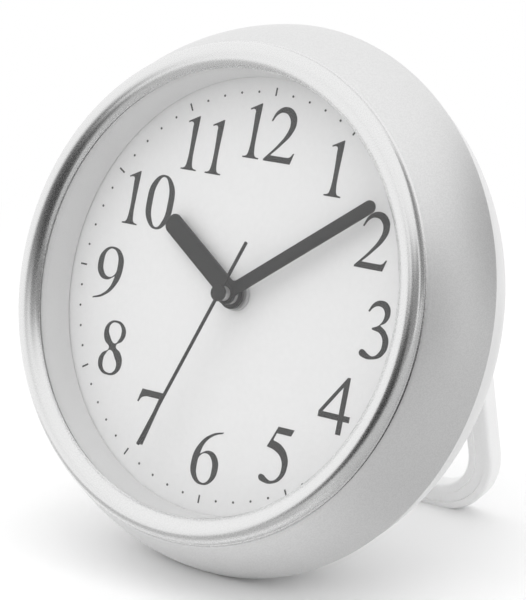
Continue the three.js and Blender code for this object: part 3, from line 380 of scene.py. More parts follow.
def arc(centre: Point, radius: float, start: float, end: float, steps: int = ARC_STEPS) -> list[Point]:
    """Lays points along a round stretch of an outline.

    Args:
        centre: Centre of the arc.
        radius: Radius of the arc.
        start: Angle of the first point, in degrees.
        end: Angle of the last point, in degrees.
        steps: Count of steps between them.

    Returns:
        The points, with both ends.
    """
    angles = [math.radians(start + (end - start) * i / steps) for i in range(steps + 1)]
    return [(centre[0] + radius * math.cos(a), centre[1] + radius * math.sin(a)) for a in angles]


def spun(outline: Sequence[Point], segments: int = FINE_TURN) -> bmesh.types.BMesh:
    """Spins an outline of radius and height about the head's axis.

    Args:
        outline: Points in order; the outline is closed unless both its ends lie on the axis.
        segments: Steps of the full turn.

    Returns:
        A closed shell with its faces outwards.
    """
    shell = bmesh.new()
    verts = [shell.verts.new((radius, 0.0, height)) for radius, height in outline]
    pairs = list(zip(verts, verts[1:]))
    if outline[0][0] > WELD or outline[-1][0] > WELD:
        pairs.append((verts[-1], verts[0]))
    edges = [shell.edges.new(pair) for pair in pairs]
    bmesh.ops.spin(
        shell, geom=verts + edges, cent=(0, 0, 0), axis=(0, 0, 1), angle=TURN, steps=segments,
        use_merge=True,
    )
    return closed(shell)


def closed(shell: bmesh.types.BMesh) -> bmesh.types.BMesh:
    """Merges doubles and turns the faces outwards.

    Args:
        shell: Mesh that is changed.

    Returns:
        The same mesh.
    """
    bmesh.ops.remove_doubles(shell, verts=shell.verts, dist=WELD)
    bmesh.ops.recalc_face_normals(shell, faces=shell.faces)
    return shell


def rod(
    radius: float,
    low: float,
    high: float,
    at: Point = (0, 0),
    edge: float = 0.0,
) -> bmesh.types.BMesh:
    """Makes a round bar along the head's axis.

    Args:
        radius: Radius of the bar.
        low: Height of its lower end.
        high: Height of its upper end.
        at: Place of its axis.
        edge: Round on both end edges, or 0.

    Returns:
        The bar.
    """
    bar = bmesh.new()
    place = Matrix.Translation((at[0], at[1], (low + high) / 2))
    bmesh.ops.create_cone(
        bar, cap_ends=True, segments=SMALL_TURN, radius1=radius, radius2=radius, depth=high - low,
        matrix=place,
    )
    if edge:
        rounded(bar, level_edges(bar), edge)
    return bar


def level_edges(shell: bmesh.types.BMesh) -> list[bmesh.types.BMEdge]:
    """Finds the edges that keep to one level."""
    return [e for e in shell.edges if abs(e.verts[0].co.z - e.verts[1].co.z) < WELD]


def raised(sheet: bmesh.types.BMesh, height: float) -> bmesh.types.BMesh:
    """Pulls a flat sheet up into a closed solid.

    Args:
        sheet: Mesh of one flat face, which is changed.
        height: Height of the solid.

    Returns:
        The solid.
    """
    lifted = bmesh.ops.extrude_face_region(sheet, geom=list(sheet.faces))["geom"]
    top = [item for item in lifted if isinstance(item, bmesh.types.BMVert)]
    bmesh.ops.translate(sheet, verts=top, vec=(0, 0, height))
    return closed(sheet)


def rounded(
    shell: bmesh.types.BMesh,
    edges: Iterable[bmesh.types.BMEdge],
    radius: float,
    steps: int = SOFT_STEPS,
) -> None:
    """Rounds some edges of a shell.

    Args:
        shell: Mesh that is changed.
        edges: Edges to round.
        radius: Width of the round.
        steps: Facets of the round.
    """
    bmesh.ops.bevel(
        shell, geom=list(edges), offset=radius, offset_type="OFFSET", affect="EDGES", segments=steps,
        profile=0.5, material=-1, clamp_overlap=True,
    )


def rounded_plate(
    half: float,
    reach: tuple[float, float],
    corner: float,
    levels: tuple[float, float],
    edge: float = 0.0,
) -> bmesh.types.BMesh:
    """Makes a flat plate with round corners from a circle whose quarters are pushed apart.

    Args:
        half: Half the width along x.
        reach: Lowest and highest y.
        corner: Radius of the corners.
        levels: Lower and upper face.
        edge: Round on the rims of both faces, or 0.

    Returns:
        The closed plate.
    """
    plate = bmesh.new()
    bmesh.ops.create_circle(plate, cap_ends=True, segments=SMALL_TURN, radius=corner)
    for vert in plate.verts:
        push_x = math.copysign(half - corner, vert.co.x) if abs(vert.co.x) > WELD else 0.0
        push_y = reach[1] - corner if vert.co.y > -WELD else reach[0] + corner
        vert.co += Vector((push_x, push_y, levels[0]))
    raised(plate, levels[1] - levels[0])
    if edge:
        rounded(plate, level_edges(plate), edge)
    return plate


def joined(parts: Iterable[bmesh.types.BMesh]) -> bmesh.types.BMesh:
    """Puts the shells of several meshes into one, without cutting them.

    Args:
        parts: Meshes, which are used up.

    Returns:
        The mesh of them all.
    """
    whole = bmesh.new()
    for part in parts:
        mesh = bpy.data.meshes.new("part")
        part.to_mesh(mesh)
        part.free()
        whole.from_mesh(mesh)
        bpy.data.meshes.remove(mesh)
    return whole


def carved(
    base: bmesh.types.BMesh,
    steps: Sequence[tuple[str, bmesh.types.BMesh]],
) -> bmesh.types.BMesh:
    """Adds solids to a solid, takes them away or keeps what is shared, one after another.

    Args:
        base: Solid to start from.
        steps: Pairs of UNION, DIFFERENCE or INTERSECT and the other solid.

    Returns:
        The carved solid.
    """
    owner = linked("scratch", base)
    tools = [linked("scratch", tool) for _, tool in steps]
    for (operation, _), tool in zip(steps, tools):
        modifier = owner.modifiers.new("carve", "BOOLEAN")
        modifier.operation = operation
        modifier.solver = "EXACT"
        modifier.object = tool
    bpy.context.view_layer.update()
    result = bmesh.new()
    result.from_object(owner, bpy.context.evaluated_depsgraph_get())
    for item in [owner, *tools]:
        mesh = item.data
        bpy.data.objects.remove(item)
        bpy.data.meshes.remove(mesh)
    bmesh.ops.remove_doubles(result, verts=result.verts, dist=WELD)
    return result


def linked(name: str, shell: bmesh.types.BMesh) -> bpy.types.Object:
    """Turns a mesh into an object of the scene.

    Args:
        name: Name of the object.
        shell: Mesh, which is used up.

    Returns:
        The new object.
    """
    mesh = bpy.data.meshes.new(name)
    shell.to_mesh(mesh)
    shell.free()
    item = bpy.data.objects.new(name, mesh)
    bpy.context.scene.collection.objects.link(item)
    return item


def finished(
    name: str,
    shell: bmesh.types.BMesh,
    finish: Finish | ClearGlass,
    body: str,
    nodes: Sequence[str] = (),
    place: Matrix = HEAD,
) -> None:
    """Turns a mesh into a piece of the clock that rides on a body.

    Args:
        name: Name of the piece.
        shell: Mesh in millimetres.
        finish: Its surface.
        body: Body that it rides on.
        nodes: Solids that it stands for.
        place: Matrix from the mesh to the frame.
    """
    bmesh.ops.transform(shell, matrix=place, verts=shell.verts)
    for face in shell.faces:
        face.smooth = True
    for edge in shell.edges:
        edge.smooth = len(edge.link_faces) == 2 and edge.calc_face_angle() < SMOOTH_ANGLE
    piece = linked(name, shell)
    piece.data.materials.append(finish.material())
    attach(piece, body)
    if nodes:
        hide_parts(*nodes)
    LOG.info("%s: %d faces on %s", name, len(piece.data.polygons), body)


class Box(NamedTuple):
    """Lowest and highest corner of a solid along the head's own axes, in millimetres."""

    low: Vector
    high: Vector

    def middle(self) -> Point:
        """Place of its middle as seen from the front."""
        return (self.low.x + self.high.x) / 2, (self.low.y + self.high.y) / 2


def head_box(node: str) -> Box:
    """Measures a solid of the frame along the head's own axes.

    Args:
        node: Name of the solid.

    Returns:
        Its box.
    """
    back = HEAD.inverted()
    points = [back @ vert.co for vert in frame["nodes"][node].data.vertices]
    low = Vector(min(point[i] for point in points) for i in range(3))
    high = Vector(max(point[i] for point in points) for i in range(3))
    return Box(low, high)


@dataclass
class Front:
    """Bezel, lens and the white wall between the dial and the lens."""

    lip_radius: float = 67.3
    lip_thickness: float = 0.65
    shoulder: float = 3.0
    skirt_wall: float = 2.95
    seat: float = 0.25
    ring_wall: float = 1.3
    ring_draft: float = 1.3
    soft_edge: float = 0.3
    cove: float = 0.6
    cove_steps: int = 6

    def build(self) -> None:
        """Makes the three pieces."""
        finished("bezel_ring", self.bezel(), SATIN_SILVER, "case", ["front_bezel"])
        finished("dial_wall", self.wall(), RING_PLASTIC, "case", ["dial_ring"])
        finished("clear_lens", self.lens(), CLEAR_GLASS, "case", ["lens"])

    def bezel(self) -> bmesh.types.BMesh:
        """Spins the bezel: lip, crown, shoulder, the cove that runs out on the case, and skirt.

        Returns:
            The closed ring.
        """
        box = head_box("front_bezel")
        under = head_box("lens").high.z + self.seat
        crest = Vector((box.high.x - self.shoulder, box.high.z))
        run, rise = crest.x - self.lip_radius, crest.y - under - self.lip_thickness
        crown = (run * run + rise * rise) / (2 * rise)
        lip_angle = 180 - math.degrees(math.acos(run / crown))
        foot, skirt = box.low.z, box.high.x - self.skirt_wall
        soft = self.soft_edge
        neck = head_box("case_body").high.z
        return spun([
            (self.lip_radius + soft, under),
            *arc((self.lip_radius + soft, under + soft), soft, 270, 180, SOFT_STEPS),
            *arc((crest.x, crest.y - crown), crown, lip_angle, 90)[1:],
            *arc((crest.x, crest.y - self.shoulder), self.shoulder, 90, 0)[1:],
            *arc((box.high.x + self.cove, neck + self.cove), self.cove, 180, 270, self.cove_steps),
            (box.high.x, neck),
            *arc((box.high.x - soft, foot + soft), soft, 0, -90, SOFT_STEPS),
            (skirt, foot),
            (skirt, under),
        ])

    def wall(self) -> bmesh.types.BMesh:
        """Spins the wall round the dial, with a soft foot.

        Returns:
            The closed ring.
        """
        box = head_box("dial_ring")
        top_in = box.high.x - self.ring_wall
        foot_in = top_in - self.ring_draft
        soft = self.soft_edge
        return spun([
            (foot_in + soft, box.low.z),
            (foot_in, box.low.z + soft),
            (top_in, box.high.z),
            (box.high.x, box.high.z),
            (foot_in + self.ring_wall, box.low.z),
        ])

    def lens(self) -> bmesh.types.BMesh:
        """Spins the flat lens with broken edges.

        Returns:
            The closed disc.
        """
        box = head_box("lens")
        soft, radius = self.soft_edge, box.high.x
        return spun([
            (0, box.low.z), (radius - soft, box.low.z), (radius, box.low.z + soft),
            (radius, box.high.z - soft), (radius - soft, box.high.z), (0, box.high.z),
        ])


class Stroke(NamedTuple):
    """A point of a numeral's outline, in hundredths of its height."""

    x: float
    y: float
    smooth: bool


Contour = list[Stroke]


def bend(*points: Point) -> Contour:
    """Points that a curve runs through."""
    return [Stroke(x, y, True) for x, y in points]


def corner(*points: Point) -> Contour:
    """Points where an outline turns sharply."""
    return [Stroke(x, y, False) for x, y in points]


ONE = [
    corner((1, 0), (37, 0), (37, 2.5)) + bend((29, 4.5), (25.5, 12))
    + corner((25.5, 100), (23.5, 100), (0, 88.5), (1, 86))
    + bend((8, 88), (12, 86), (12.5, 79), (12.5, 12), (9, 4.5)) + corner((1, 2.5)),
]
TWO = [
    corner((0, 0), (60, 0), (66, 20), (63.5, 20)) + bend((57, 12.5)) + corner((47, 11), (14, 11))
    + bend((36, 33), (53, 54), (59, 74), (52, 92), (33, 100), (13, 91)) + corner((3, 72), (6, 71))
    + bend((15, 84), (27, 89), (40, 84), (46, 70), (41, 52), (28, 33)) + corner((0, 3)),
]
THREE = [
    corner((3, 79)) + bend((12, 94), (28, 100.5), (43, 95), (49, 80), (44, 66)) + corner((33, 58))
    + bend((47, 49), (56, 31), (49, 9), (30, -1), (9, -1), (0, 5), (3, 12), (9, 12), (18, 7), (28, 4))
    + bend((39, 11), (44, 27), (37, 43)) + corner((17, 49), (17, 51.5))
    + bend((31, 59), (38, 74), (34, 86), (24, 90), (13, 86)) + corner((6, 77.5)),
]
FOUR = [
    corner((43, 0), (54, 0), (54, 24), (67, 24), (67, 34.5), (54, 34.5), (54, 100), (48, 100))
    + corner((0, 34.5), (0, 24), (43, 24)),
    corner((43, 34.5), (8.5, 34.5), (43, 82)),
]
FIVE = [
    corner((23, 100), (58, 100), (53, 88), (22, 88), (17, 75))
    + bend((37, 69), (53, 53), (57, 34), (50, 13), (32, 0.5), (11, -1), (0.5, 4), (1, 10.5))
    + bend((8, 12), (18, 7), (27, 4.5), (40, 12), (45.5, 30), (39, 48), (23, 58)) + corner((5.5, 61.5)),
]
SIX = [
    corner((60, 100)) + bend((38, 93.5), (13, 73), (0.5, 38), (8, 10), (31, -0.5), (54, 10))
    + bend((62, 33), (54, 55), (36, 62)) + corner((16, 53)) + bend((23, 73), (39, 89))
    + corner((60, 97.5)),
    bend((31, 56), (44, 48), (49, 28), (44, 9), (32, 3.5), (19, 12), (14, 34), (17, 49)),
]
SEVEN = [
    corner((7, 100), (61, 100), (61, 97), (31, 0), (21, 0), (49, 88), (20, 88)) + bend((9, 84))
    + corner((3, 75), (0, 76)),
]
EIGHT = [
    bend((28, 101), (46, 95), (54, 80), (49, 66), (36, 54.5), (49, 44), (57, 27), (50, 7))
    + bend((28, -0.5), (8, 6), (0.5, 23), (6, 37), (20, 49), (8, 60), (2, 76), (9, 94)),
    bend((28, 97), (39, 92), (43.5, 79), (40, 67), (32, 59), (18, 70), (12.5, 83), (17, 94)),
    bend((24, 45.5), (38, 33), (45, 19), (40, 7), (29, 3.5), (16, 9), (11.5, 25), (15, 37)),
]
NINE = [[Stroke(62 - x, 100 - y, smooth) for x, y, smooth in contour] for contour in SIX]
ZERO = [
    bend((31.5, 100.5), (55, 86), (63, 50), (55, 14), (31.5, -0.5), (8, 14), (0, 50), (8, 86)),
    bend((31.5, 96.5), (44, 84), (49.5, 50), (44, 16), (31.5, 3.5), (19, 16), (13.5, 50), (19, 84)),
]


def pair(first: list[Contour], second: list[Contour], step: float) -> list[Contour]:
    """Sets a second figure beside a first one, a step to its right."""
    moved = [[Stroke(x + step, y, smooth) for x, y, smooth in contour] for contour in second]
    return [*first, *moved]


class Numeral(NamedTuple):
    """A numeral's outlines and the place of its middle on the dial, in millimetres."""

    contours: list[Contour]
    middle: Point


NUMERALS = [
    Numeral(ONE, (27.3, 42.8)),
    Numeral(TWO, (45.5, 23.9)),
    Numeral(THREE, (52.2, -1.4)),
    Numeral(FOUR, (43.0, -25.3)),
    Numeral(FIVE, (25.3, -44.0)),
    Numeral(SIX, (-0.3, -49.7)),
    Numeral(SEVEN, (-25.6, -42.6)),
    Numeral(EIGHT, (-44.6, -24.0)),
    Numeral(NINE, (-51.7, -1.4)),
    Numeral(pair(ONE, ZERO, 51), (-41.0, 23.6)),
    Numeral(pair(ONE, ONE, 57), (-23.4, 43.4)),
    Numeral(pair(ONE, TWO, 48), (1.2, 50.1)),
]


@dataclass
class Dial:
    """The white disc and its print: numerals, minute dots and hour ticks."""

    numeral_height: float = 17.0
    ink: float = 0.05
    dot_radius: float = 0.38
    dot_circle: float = 62.3
    tick_inner: float = 61.4
    tick_outer: float = 63.9
    tick_width: float = 0.55
    hole: float = 3.45
    curve_steps: int = 8
    dot_segments: int = 16

    def build(self) -> None:
        """Makes the disc, the numerals and the minute track."""
        box = head_box("dial")
        disc = spun([
            (self.hole, box.low.z), (box.high.x, box.low.z),
            (box.high.x, box.high.z), (self.hole, box.high.z),
        ])
        finished("dial_disc", disc, DIAL_PAPER, "case", ["dial"])
        finished("dial_numerals", joined(self.figure(item) for item in NUMERALS), DIAL_INK, "case")
        finished("minute_track", self.track(), DIAL_INK, "case")

    def figure(self, numeral: Numeral) -> bmesh.types.BMesh:
        """Draws one numeral as a thin solid on the dial.

        Args:
            numeral: Its outlines and place.

        Returns:
            The solid.
        """
        scale = self.numeral_height / 100
        spots = [stroke for contour in numeral.contours for stroke in contour]
        middle = (min(s.x for s in spots) + max(s.x for s in spots)) / 2
        curve = bpy.data.curves.new("figure", "CURVE")
        curve.dimensions = "2D"
        curve.fill_mode = "BOTH"
        curve.extrude = self.ink / 2
        curve.resolution_u = self.curve_steps
        for contour in numeral.contours:
            spline = curve.splines.new("BEZIER")
            spline.bezier_points.add(len(contour) - 1)
            spline.use_cyclic_u = True
            for knot, stroke in zip(spline.bezier_points, contour):
                kind = "AUTO" if stroke.smooth else "VECTOR"
                knot.handle_left_type = kind
                knot.handle_right_type = kind
                knot.co = ((stroke.x - middle) * scale, (stroke.y - 50) * scale, 0)
        item = bpy.data.objects.new("figure", curve)
        bpy.context.scene.collection.objects.link(item)
        bpy.context.view_layer.update()
        mesh = bpy.data.meshes.new_from_object(item.evaluated_get(bpy.context.evaluated_depsgraph_get()))
        solid = bmesh.new()
        solid.from_mesh(mesh)
        bpy.data.objects.remove(item)
        bpy.data.curves.remove(curve)
        bpy.data.meshes.remove(mesh)
        bmesh.ops.translate(solid, verts=solid.verts, vec=(*numeral.middle, self.ink / 2))
        return closed(solid)

    def track(self) -> bmesh.types.BMesh:
        """Lays a dot on each minute and a tick on each hour.

        Returns:
            The marks as one mesh.
        """
        marks = []
        for minute in range(60):
            turn = Matrix.Rotation(-TURN * minute / 60, 4, "Z")
            if minute % 5:
                mark = bmesh.new()
                place = turn @ Matrix.Translation((0, self.dot_circle, self.ink / 2))
                bmesh.ops.create_cone(
                    mark, cap_ends=True, segments=self.dot_segments, radius1=self.dot_radius,
                    radius2=self.dot_radius, depth=self.ink, matrix=place,
                )
            else:
                reach = (self.tick_inner, self.tick_outer)
                mark = rounded_plate(self.tick_width / 2, reach, self.tick_width / 8, (0, self.ink))
                bmesh.ops.transform(mark, matrix=turn, verts=mark.verts)
            marks.append(mark)
        return joined(marks)


@dataclass
class Case:
    """The silver bowl between the bezel and the rear cover."""

    flare: float = 9.15
    bulge: float = 1.4
    neck_lip: float = 0.4
    shell_wall: float = 2.2
    groove_depth: float = 5.0
    roof: float = 2.0
    cylinder_wall: float = 2.4
    ledge_width: float = 5.5
    ledge: float = 1.65
    rim_round: float = 0.5
    wall_steps: int = 28

    def build(self) -> None:
        """Makes the shell."""
        finished("case_shell", self.shell(), SILVER_PAINT, "case", ["case_body"])

    def shell(self) -> bmesh.types.BMesh:
        """Spins the wall's arc, the rear rim, the dial's seat and the lens cylinder.

        Returns:
            The closed shell.
        """
        box = head_box("case_body")
        dial, lens = head_box("dial"), head_box("lens")
        rim_radius, neck_radius = box.high.x, box.high.x - self.flare
        neck, rim = box.high.z, self.rim_level()
        chord = math.hypot(self.flare, neck - rim)
        bow = chord * chord / (8 * self.bulge) + self.bulge / 2
        centre = Vector((
            (neck_radius + rim_radius) / 2 - (bow - self.bulge) * (neck - rim) / chord,
            (neck + rim) / 2 - (bow - self.bulge) * self.flare / chord,
        ))

        def radius(level: float) -> float:
            """Outer radius of the case at a level."""
            return centre.x + math.sqrt(bow * bow - (level - centre.y) ** 2)

        soft = self.rim_round
        levels = [neck - soft / 2 + (rim + soft - neck + soft / 2) * i / self.wall_steps
                  for i in range(self.wall_steps + 1)]
        outside = [(radius(level), level) for level in levels]
        groove = neck - self.groove_depth
        roof = groove - self.roof
        inside = [(radius(level) - self.shell_wall, level) for level in (rim, (rim + roof) / 2, roof)]
        cylinder_in = lens.high.x - self.cylinder_wall
        ledge_top = dial.low.z - Front.seat
        ledge_low = ledge_top - self.ledge
        ledge_in = dial.high.x - self.ledge_width
        cylinder_top = head_box("lens_gasket").low.z - Front.seat
        return spun([
            (neck_radius - self.neck_lip, neck - soft / 2),
            (neck_radius - self.neck_lip / 2, neck),
            *outside,
            *arc((rim_radius - soft, rim + soft), soft, 0, -90, SOFT_STEPS)[1:],
            *inside,
            (lens.high.x, roof),
            (lens.high.x, ledge_low),
            (ledge_in, ledge_low),
            (ledge_in, ledge_top),
            (cylinder_in, ledge_top),
            (cylinder_in, cylinder_top),
            (lens.high.x, cylinder_top),
            (lens.high.x, groove),
            (neck_radius - self.neck_lip, groove),
        ])

    @staticmethod
    def rim_level() -> float:
        """Level of the rear rim, from the cover that closes it."""
        return Back.edge_level() + Front.seat


@dataclass
class Back:
    """The rear cover with its hinge lugs, the battery door and the setting knob."""

    flat_radius: float = 45.0
    wall: float = 2.2
    edge_round: float = 0.4
    spigot_wall: float = 1.6
    gasket_width: float = 1.2
    clearance: float = 0.25
    frame_wall: float = 1.6
    frame_corner: float = 1.6
    well_depth: float = 22.75
    door_lip: float = 2.5
    door_thickness: float = 2.0
    plug_wall: float = 1.5
    notch_radius: float = 9.0
    notch_depth: float = 1.1
    head_hole: float = 3.1
    head_thickness: float = 2.0
    shank_hole: float = 1.6
    pillar_wall: float = 0.9
    pillar_floor: float = 5.0
    stem_hole: float = 1.6
    seal_hole: float = 2.9
    seal_depth: float = 1.4
    flutes: int = 12
    flute_steps: int = 8
    flute_depth: float = 0.6
    knob_edge: float = 0.6
    lug_inner: float = 34.1
    lug_outer: float = 40.1
    lug_radius: float = 4.6
    pin_hole: float = 2.3
    lug_edge: float = 0.5
    dome_steps: int = 32

    def build(self) -> None:
        """Makes the cover, the door and the knob."""
        finished("back_cover", self.cover(), WHITE_PLASTIC, "case", ["rear_cover"])
        finished("door_lid", self.door(), WHITE_PLASTIC, "door", ["battery_door"])
        finished("knob_grip", self.knob(), WHITE_PLASTIC, "setting", ["setting_knob"])

    @staticmethod
    def edge_level() -> float:
        """Level of the edge that meets the case, from the gasket that lies on it."""
        return head_box("cover_gasket").low.z - Front.seat

    def dome(self, wall: float) -> list[Point]:
        """Draws the quarter ellipse from the edge to the flat back.

        Args:
            wall: Distance inwards from the outside.

        Returns:
            Points of radius and height.
        """
        box, edge = head_box("rear_cover"), self.edge_level()
        run = box.high.x - self.flat_radius - wall
        depth = edge - head_box("battery_door").low.z - wall
        angles = [QUARTER * (i + 1) / self.dome_steps for i in range(self.dome_steps)]
        return [(self.flat_radius + run * math.cos(a), edge - depth * math.sin(a)) for a in angles]

    def shell(self) -> bmesh.types.BMesh:
        """Spins the domed cover with the spigot that enters the case.

        Returns:
            The closed shell.
        """
        box, edge = head_box("rear_cover"), self.edge_level()
        soft = self.edge_round
        outside, inside = self.dome(0), self.dome(self.wall)
        spigot = head_box("cover_gasket").high.x - self.gasket_width
        spigot_in = spigot - self.spigot_wall
        lining = [point for point in inside if point[0] < spigot_in]
        return spun([
            (0, outside[-1][1]),
            *reversed(outside),
            *arc((box.high.x - soft, edge - soft), soft, 0, 90, SOFT_STEPS),
            (spigot, edge),
            (spigot, box.high.z),
            (spigot_in, box.high.z),
            (spigot_in, lining[0][1]),
            *lining,
            (0, lining[-1][1]),
        ])

    def cover(self) -> bmesh.types.BMesh:
        """Joins pillars, frames, boss and lugs to the shell and cuts the holes.

        Returns:
            The cover.
        """
        back, knob_at = head_box("battery_door").low.z, head_box("setting_knob").middle()
        root, seal = back + self.wall / 2, back + self.seal_depth
        outer, well = back - self.wall, back + self.well_depth
        rebate = head_box("door_gasket").high.z + self.clearance
        grow, inset = self.clearance, self.clearance - self.door_lip
        return carved(self.shell(), [
            ("UNION", self.pillars()),
            ("UNION", self.around_door(inset + self.frame_wall, root, well)),
            ("UNION", self.around_door(grow + self.frame_wall, root, rebate + self.frame_wall)),
            ("UNION", rod(self.seal_hole + self.frame_wall, root, seal + self.frame_wall, knob_at)),
            *(("UNION", self.lug(side)) for side in (-1, 1)),
            *(("DIFFERENCE", rod(self.head_hole, outer, self.seat(), at)) for at in self.screws()),
            *(("DIFFERENCE", rod(self.shank_hole, back, 0, at)) for at in self.screws()),
            ("DIFFERENCE", self.around_door(inset, outer, well + self.wall)),
            ("DIFFERENCE", self.around_door(grow, outer, rebate)),
            ("DIFFERENCE", rod(self.stem_hole, outer, 0, knob_at)),
            ("DIFFERENCE", rod(self.seal_hole, outer, seal, knob_at)),
        ])

    def around_door(self, grow: float, low: float, high: float) -> bmesh.types.BMesh:
        """Makes a plate of the door's outline.

        Args:
            grow: Width added on every side.
            low: Lower level.
            high: Upper level.

        Returns:
            The plate.
        """
        door = head_box("battery_door")
        reach = (door.low.y - grow, door.high.y + grow)
        return rounded_plate(door.high.x + grow, reach, self.frame_corner, (low, high))

    @staticmethod
    def screws() -> list[Point]:
        """Finds the axes of the cover's screws."""
        return [head_box(f"cover_screw_{i}").middle() for i in range(1, 5)]

    def seat(self) -> float:
        """Level that the screw heads press on."""
        return head_box("cover_screw_1").low.z + self.head_thickness + self.clearance

    def pillars(self) -> bmesh.types.BMesh:
        """Makes the screw pillars, with their feet inside the domed wall.

        Returns:
            The pillars as one mesh.
        """
        edge, back = self.edge_level(), head_box("battery_door").low.z
        middle = self.dome(self.wall / 2)
        inner = spun([(0, edge), (middle[0][0], edge), *middle, (0, middle[-1][1])])
        radius, top = self.head_hole + self.pillar_wall, self.seat() + self.pillar_floor
        bars = joined(rod(radius, back, top, at) for at in self.screws())
        return carved(bars, [("INTERSECT", inner)])

    def lug(self, side: int) -> bmesh.types.BMesh:
        """Makes a hinge ear that roots in the cover's wall.

        Args:
            side: 1 for the right ear and -1 for the left one.

        Returns:
            The ear, with its pin hole.
        """
        y, z = STAND_HINGE.yz
        far = math.hypot(self.lug_outer, y + self.lug_radius)
        root = min(level for radius, level in self.dome(self.wall / 2) if radius > far) - z
        ear = bmesh.new()
        bmesh.ops.create_circle(ear, cap_ends=True, segments=SMALL_TURN, radius=self.lug_radius)
        for vert in ear.verts:
            if vert.co.y > WELD:
                vert.co = (math.copysign(self.lug_radius, vert.co.x), root, 0)
        closed(ear)
        raised(ear, self.lug_outer - self.lug_inner)
        rounded(ear, level_edges(ear), self.lug_edge)
        start = self.lug_inner if side > 0 else -self.lug_outer
        across = Matrix(((0, 0, 1, start), (1, 0, 0, y), (0, 1, 0, z), (0, 0, 0, 1)))
        hole = rod(self.pin_hole, -OVERSHOOT, self.lug_outer - self.lug_inner + OVERSHOOT)
        for solid in (ear, hole):
            bmesh.ops.transform(solid, matrix=across, verts=solid.verts)
        return carved(ear, [("DIFFERENCE", hole)])

    def door(self) -> bmesh.types.BMesh:
        """Makes the lid with its plug and a finger notch.

        Returns:
            The lid.
        """
        box = head_box("battery_door")
        inner, plug = box.low.z + self.door_thickness, -self.door_lip
        lid = rounded_plate(
            box.high.x, (box.low.y, box.high.y), self.frame_corner, (box.low.z, inner), self.edge_round,
        )
        notch = bmesh.new()
        sunk = box.low.z + self.notch_depth - self.notch_radius
        place = Matrix.Translation((0, box.low.y + self.notch_radius / 2, sunk))
        bmesh.ops.create_uvsphere(
            notch, u_segments=SMALL_TURN, v_segments=SMALL_TURN, radius=self.notch_radius, matrix=place,
        )
        return carved(lid, [
            ("UNION", self.around_door(plug, inner - self.edge_round, box.high.z)),
            ("DIFFERENCE", self.around_door(plug - self.plug_wall, inner, box.high.z + OVERSHOOT)),
            ("DIFFERENCE", notch),
        ])

    def knob(self) -> bmesh.types.BMesh:
        """Makes the fluted knob with the socket for its stem.

        Returns:
            The knob.
        """
        box = head_box("setting_knob")
        outer, half = (box.high.x - box.low.x) / 2, self.flute_depth / 2
        grip = bmesh.new()
        around = self.flute_steps * self.flutes
        bmesh.ops.create_circle(grip, cap_ends=True, segments=around, radius=outer)
        for vert in grip.verts:
            angle = math.atan2(vert.co.y, vert.co.x)
            vert.co *= 1 - half / outer * (1 - math.cos(self.flutes * angle))
        raised(grip, box.high.z - box.low.z)
        rounded(grip, [e for e in grip.edges if max(v.co.z for v in e.verts) < WELD], self.knob_edge)
        bmesh.ops.translate(grip, verts=grip.verts, vec=(*box.middle(), box.low.z))
        stem = head_box("setting_shaft").low.z - self.clearance
        socket = rod(self.stem_hole, stem, box.high.z + OVERSHOOT, box.middle())
        return carved(grip, [("DIFFERENCE", socket)])


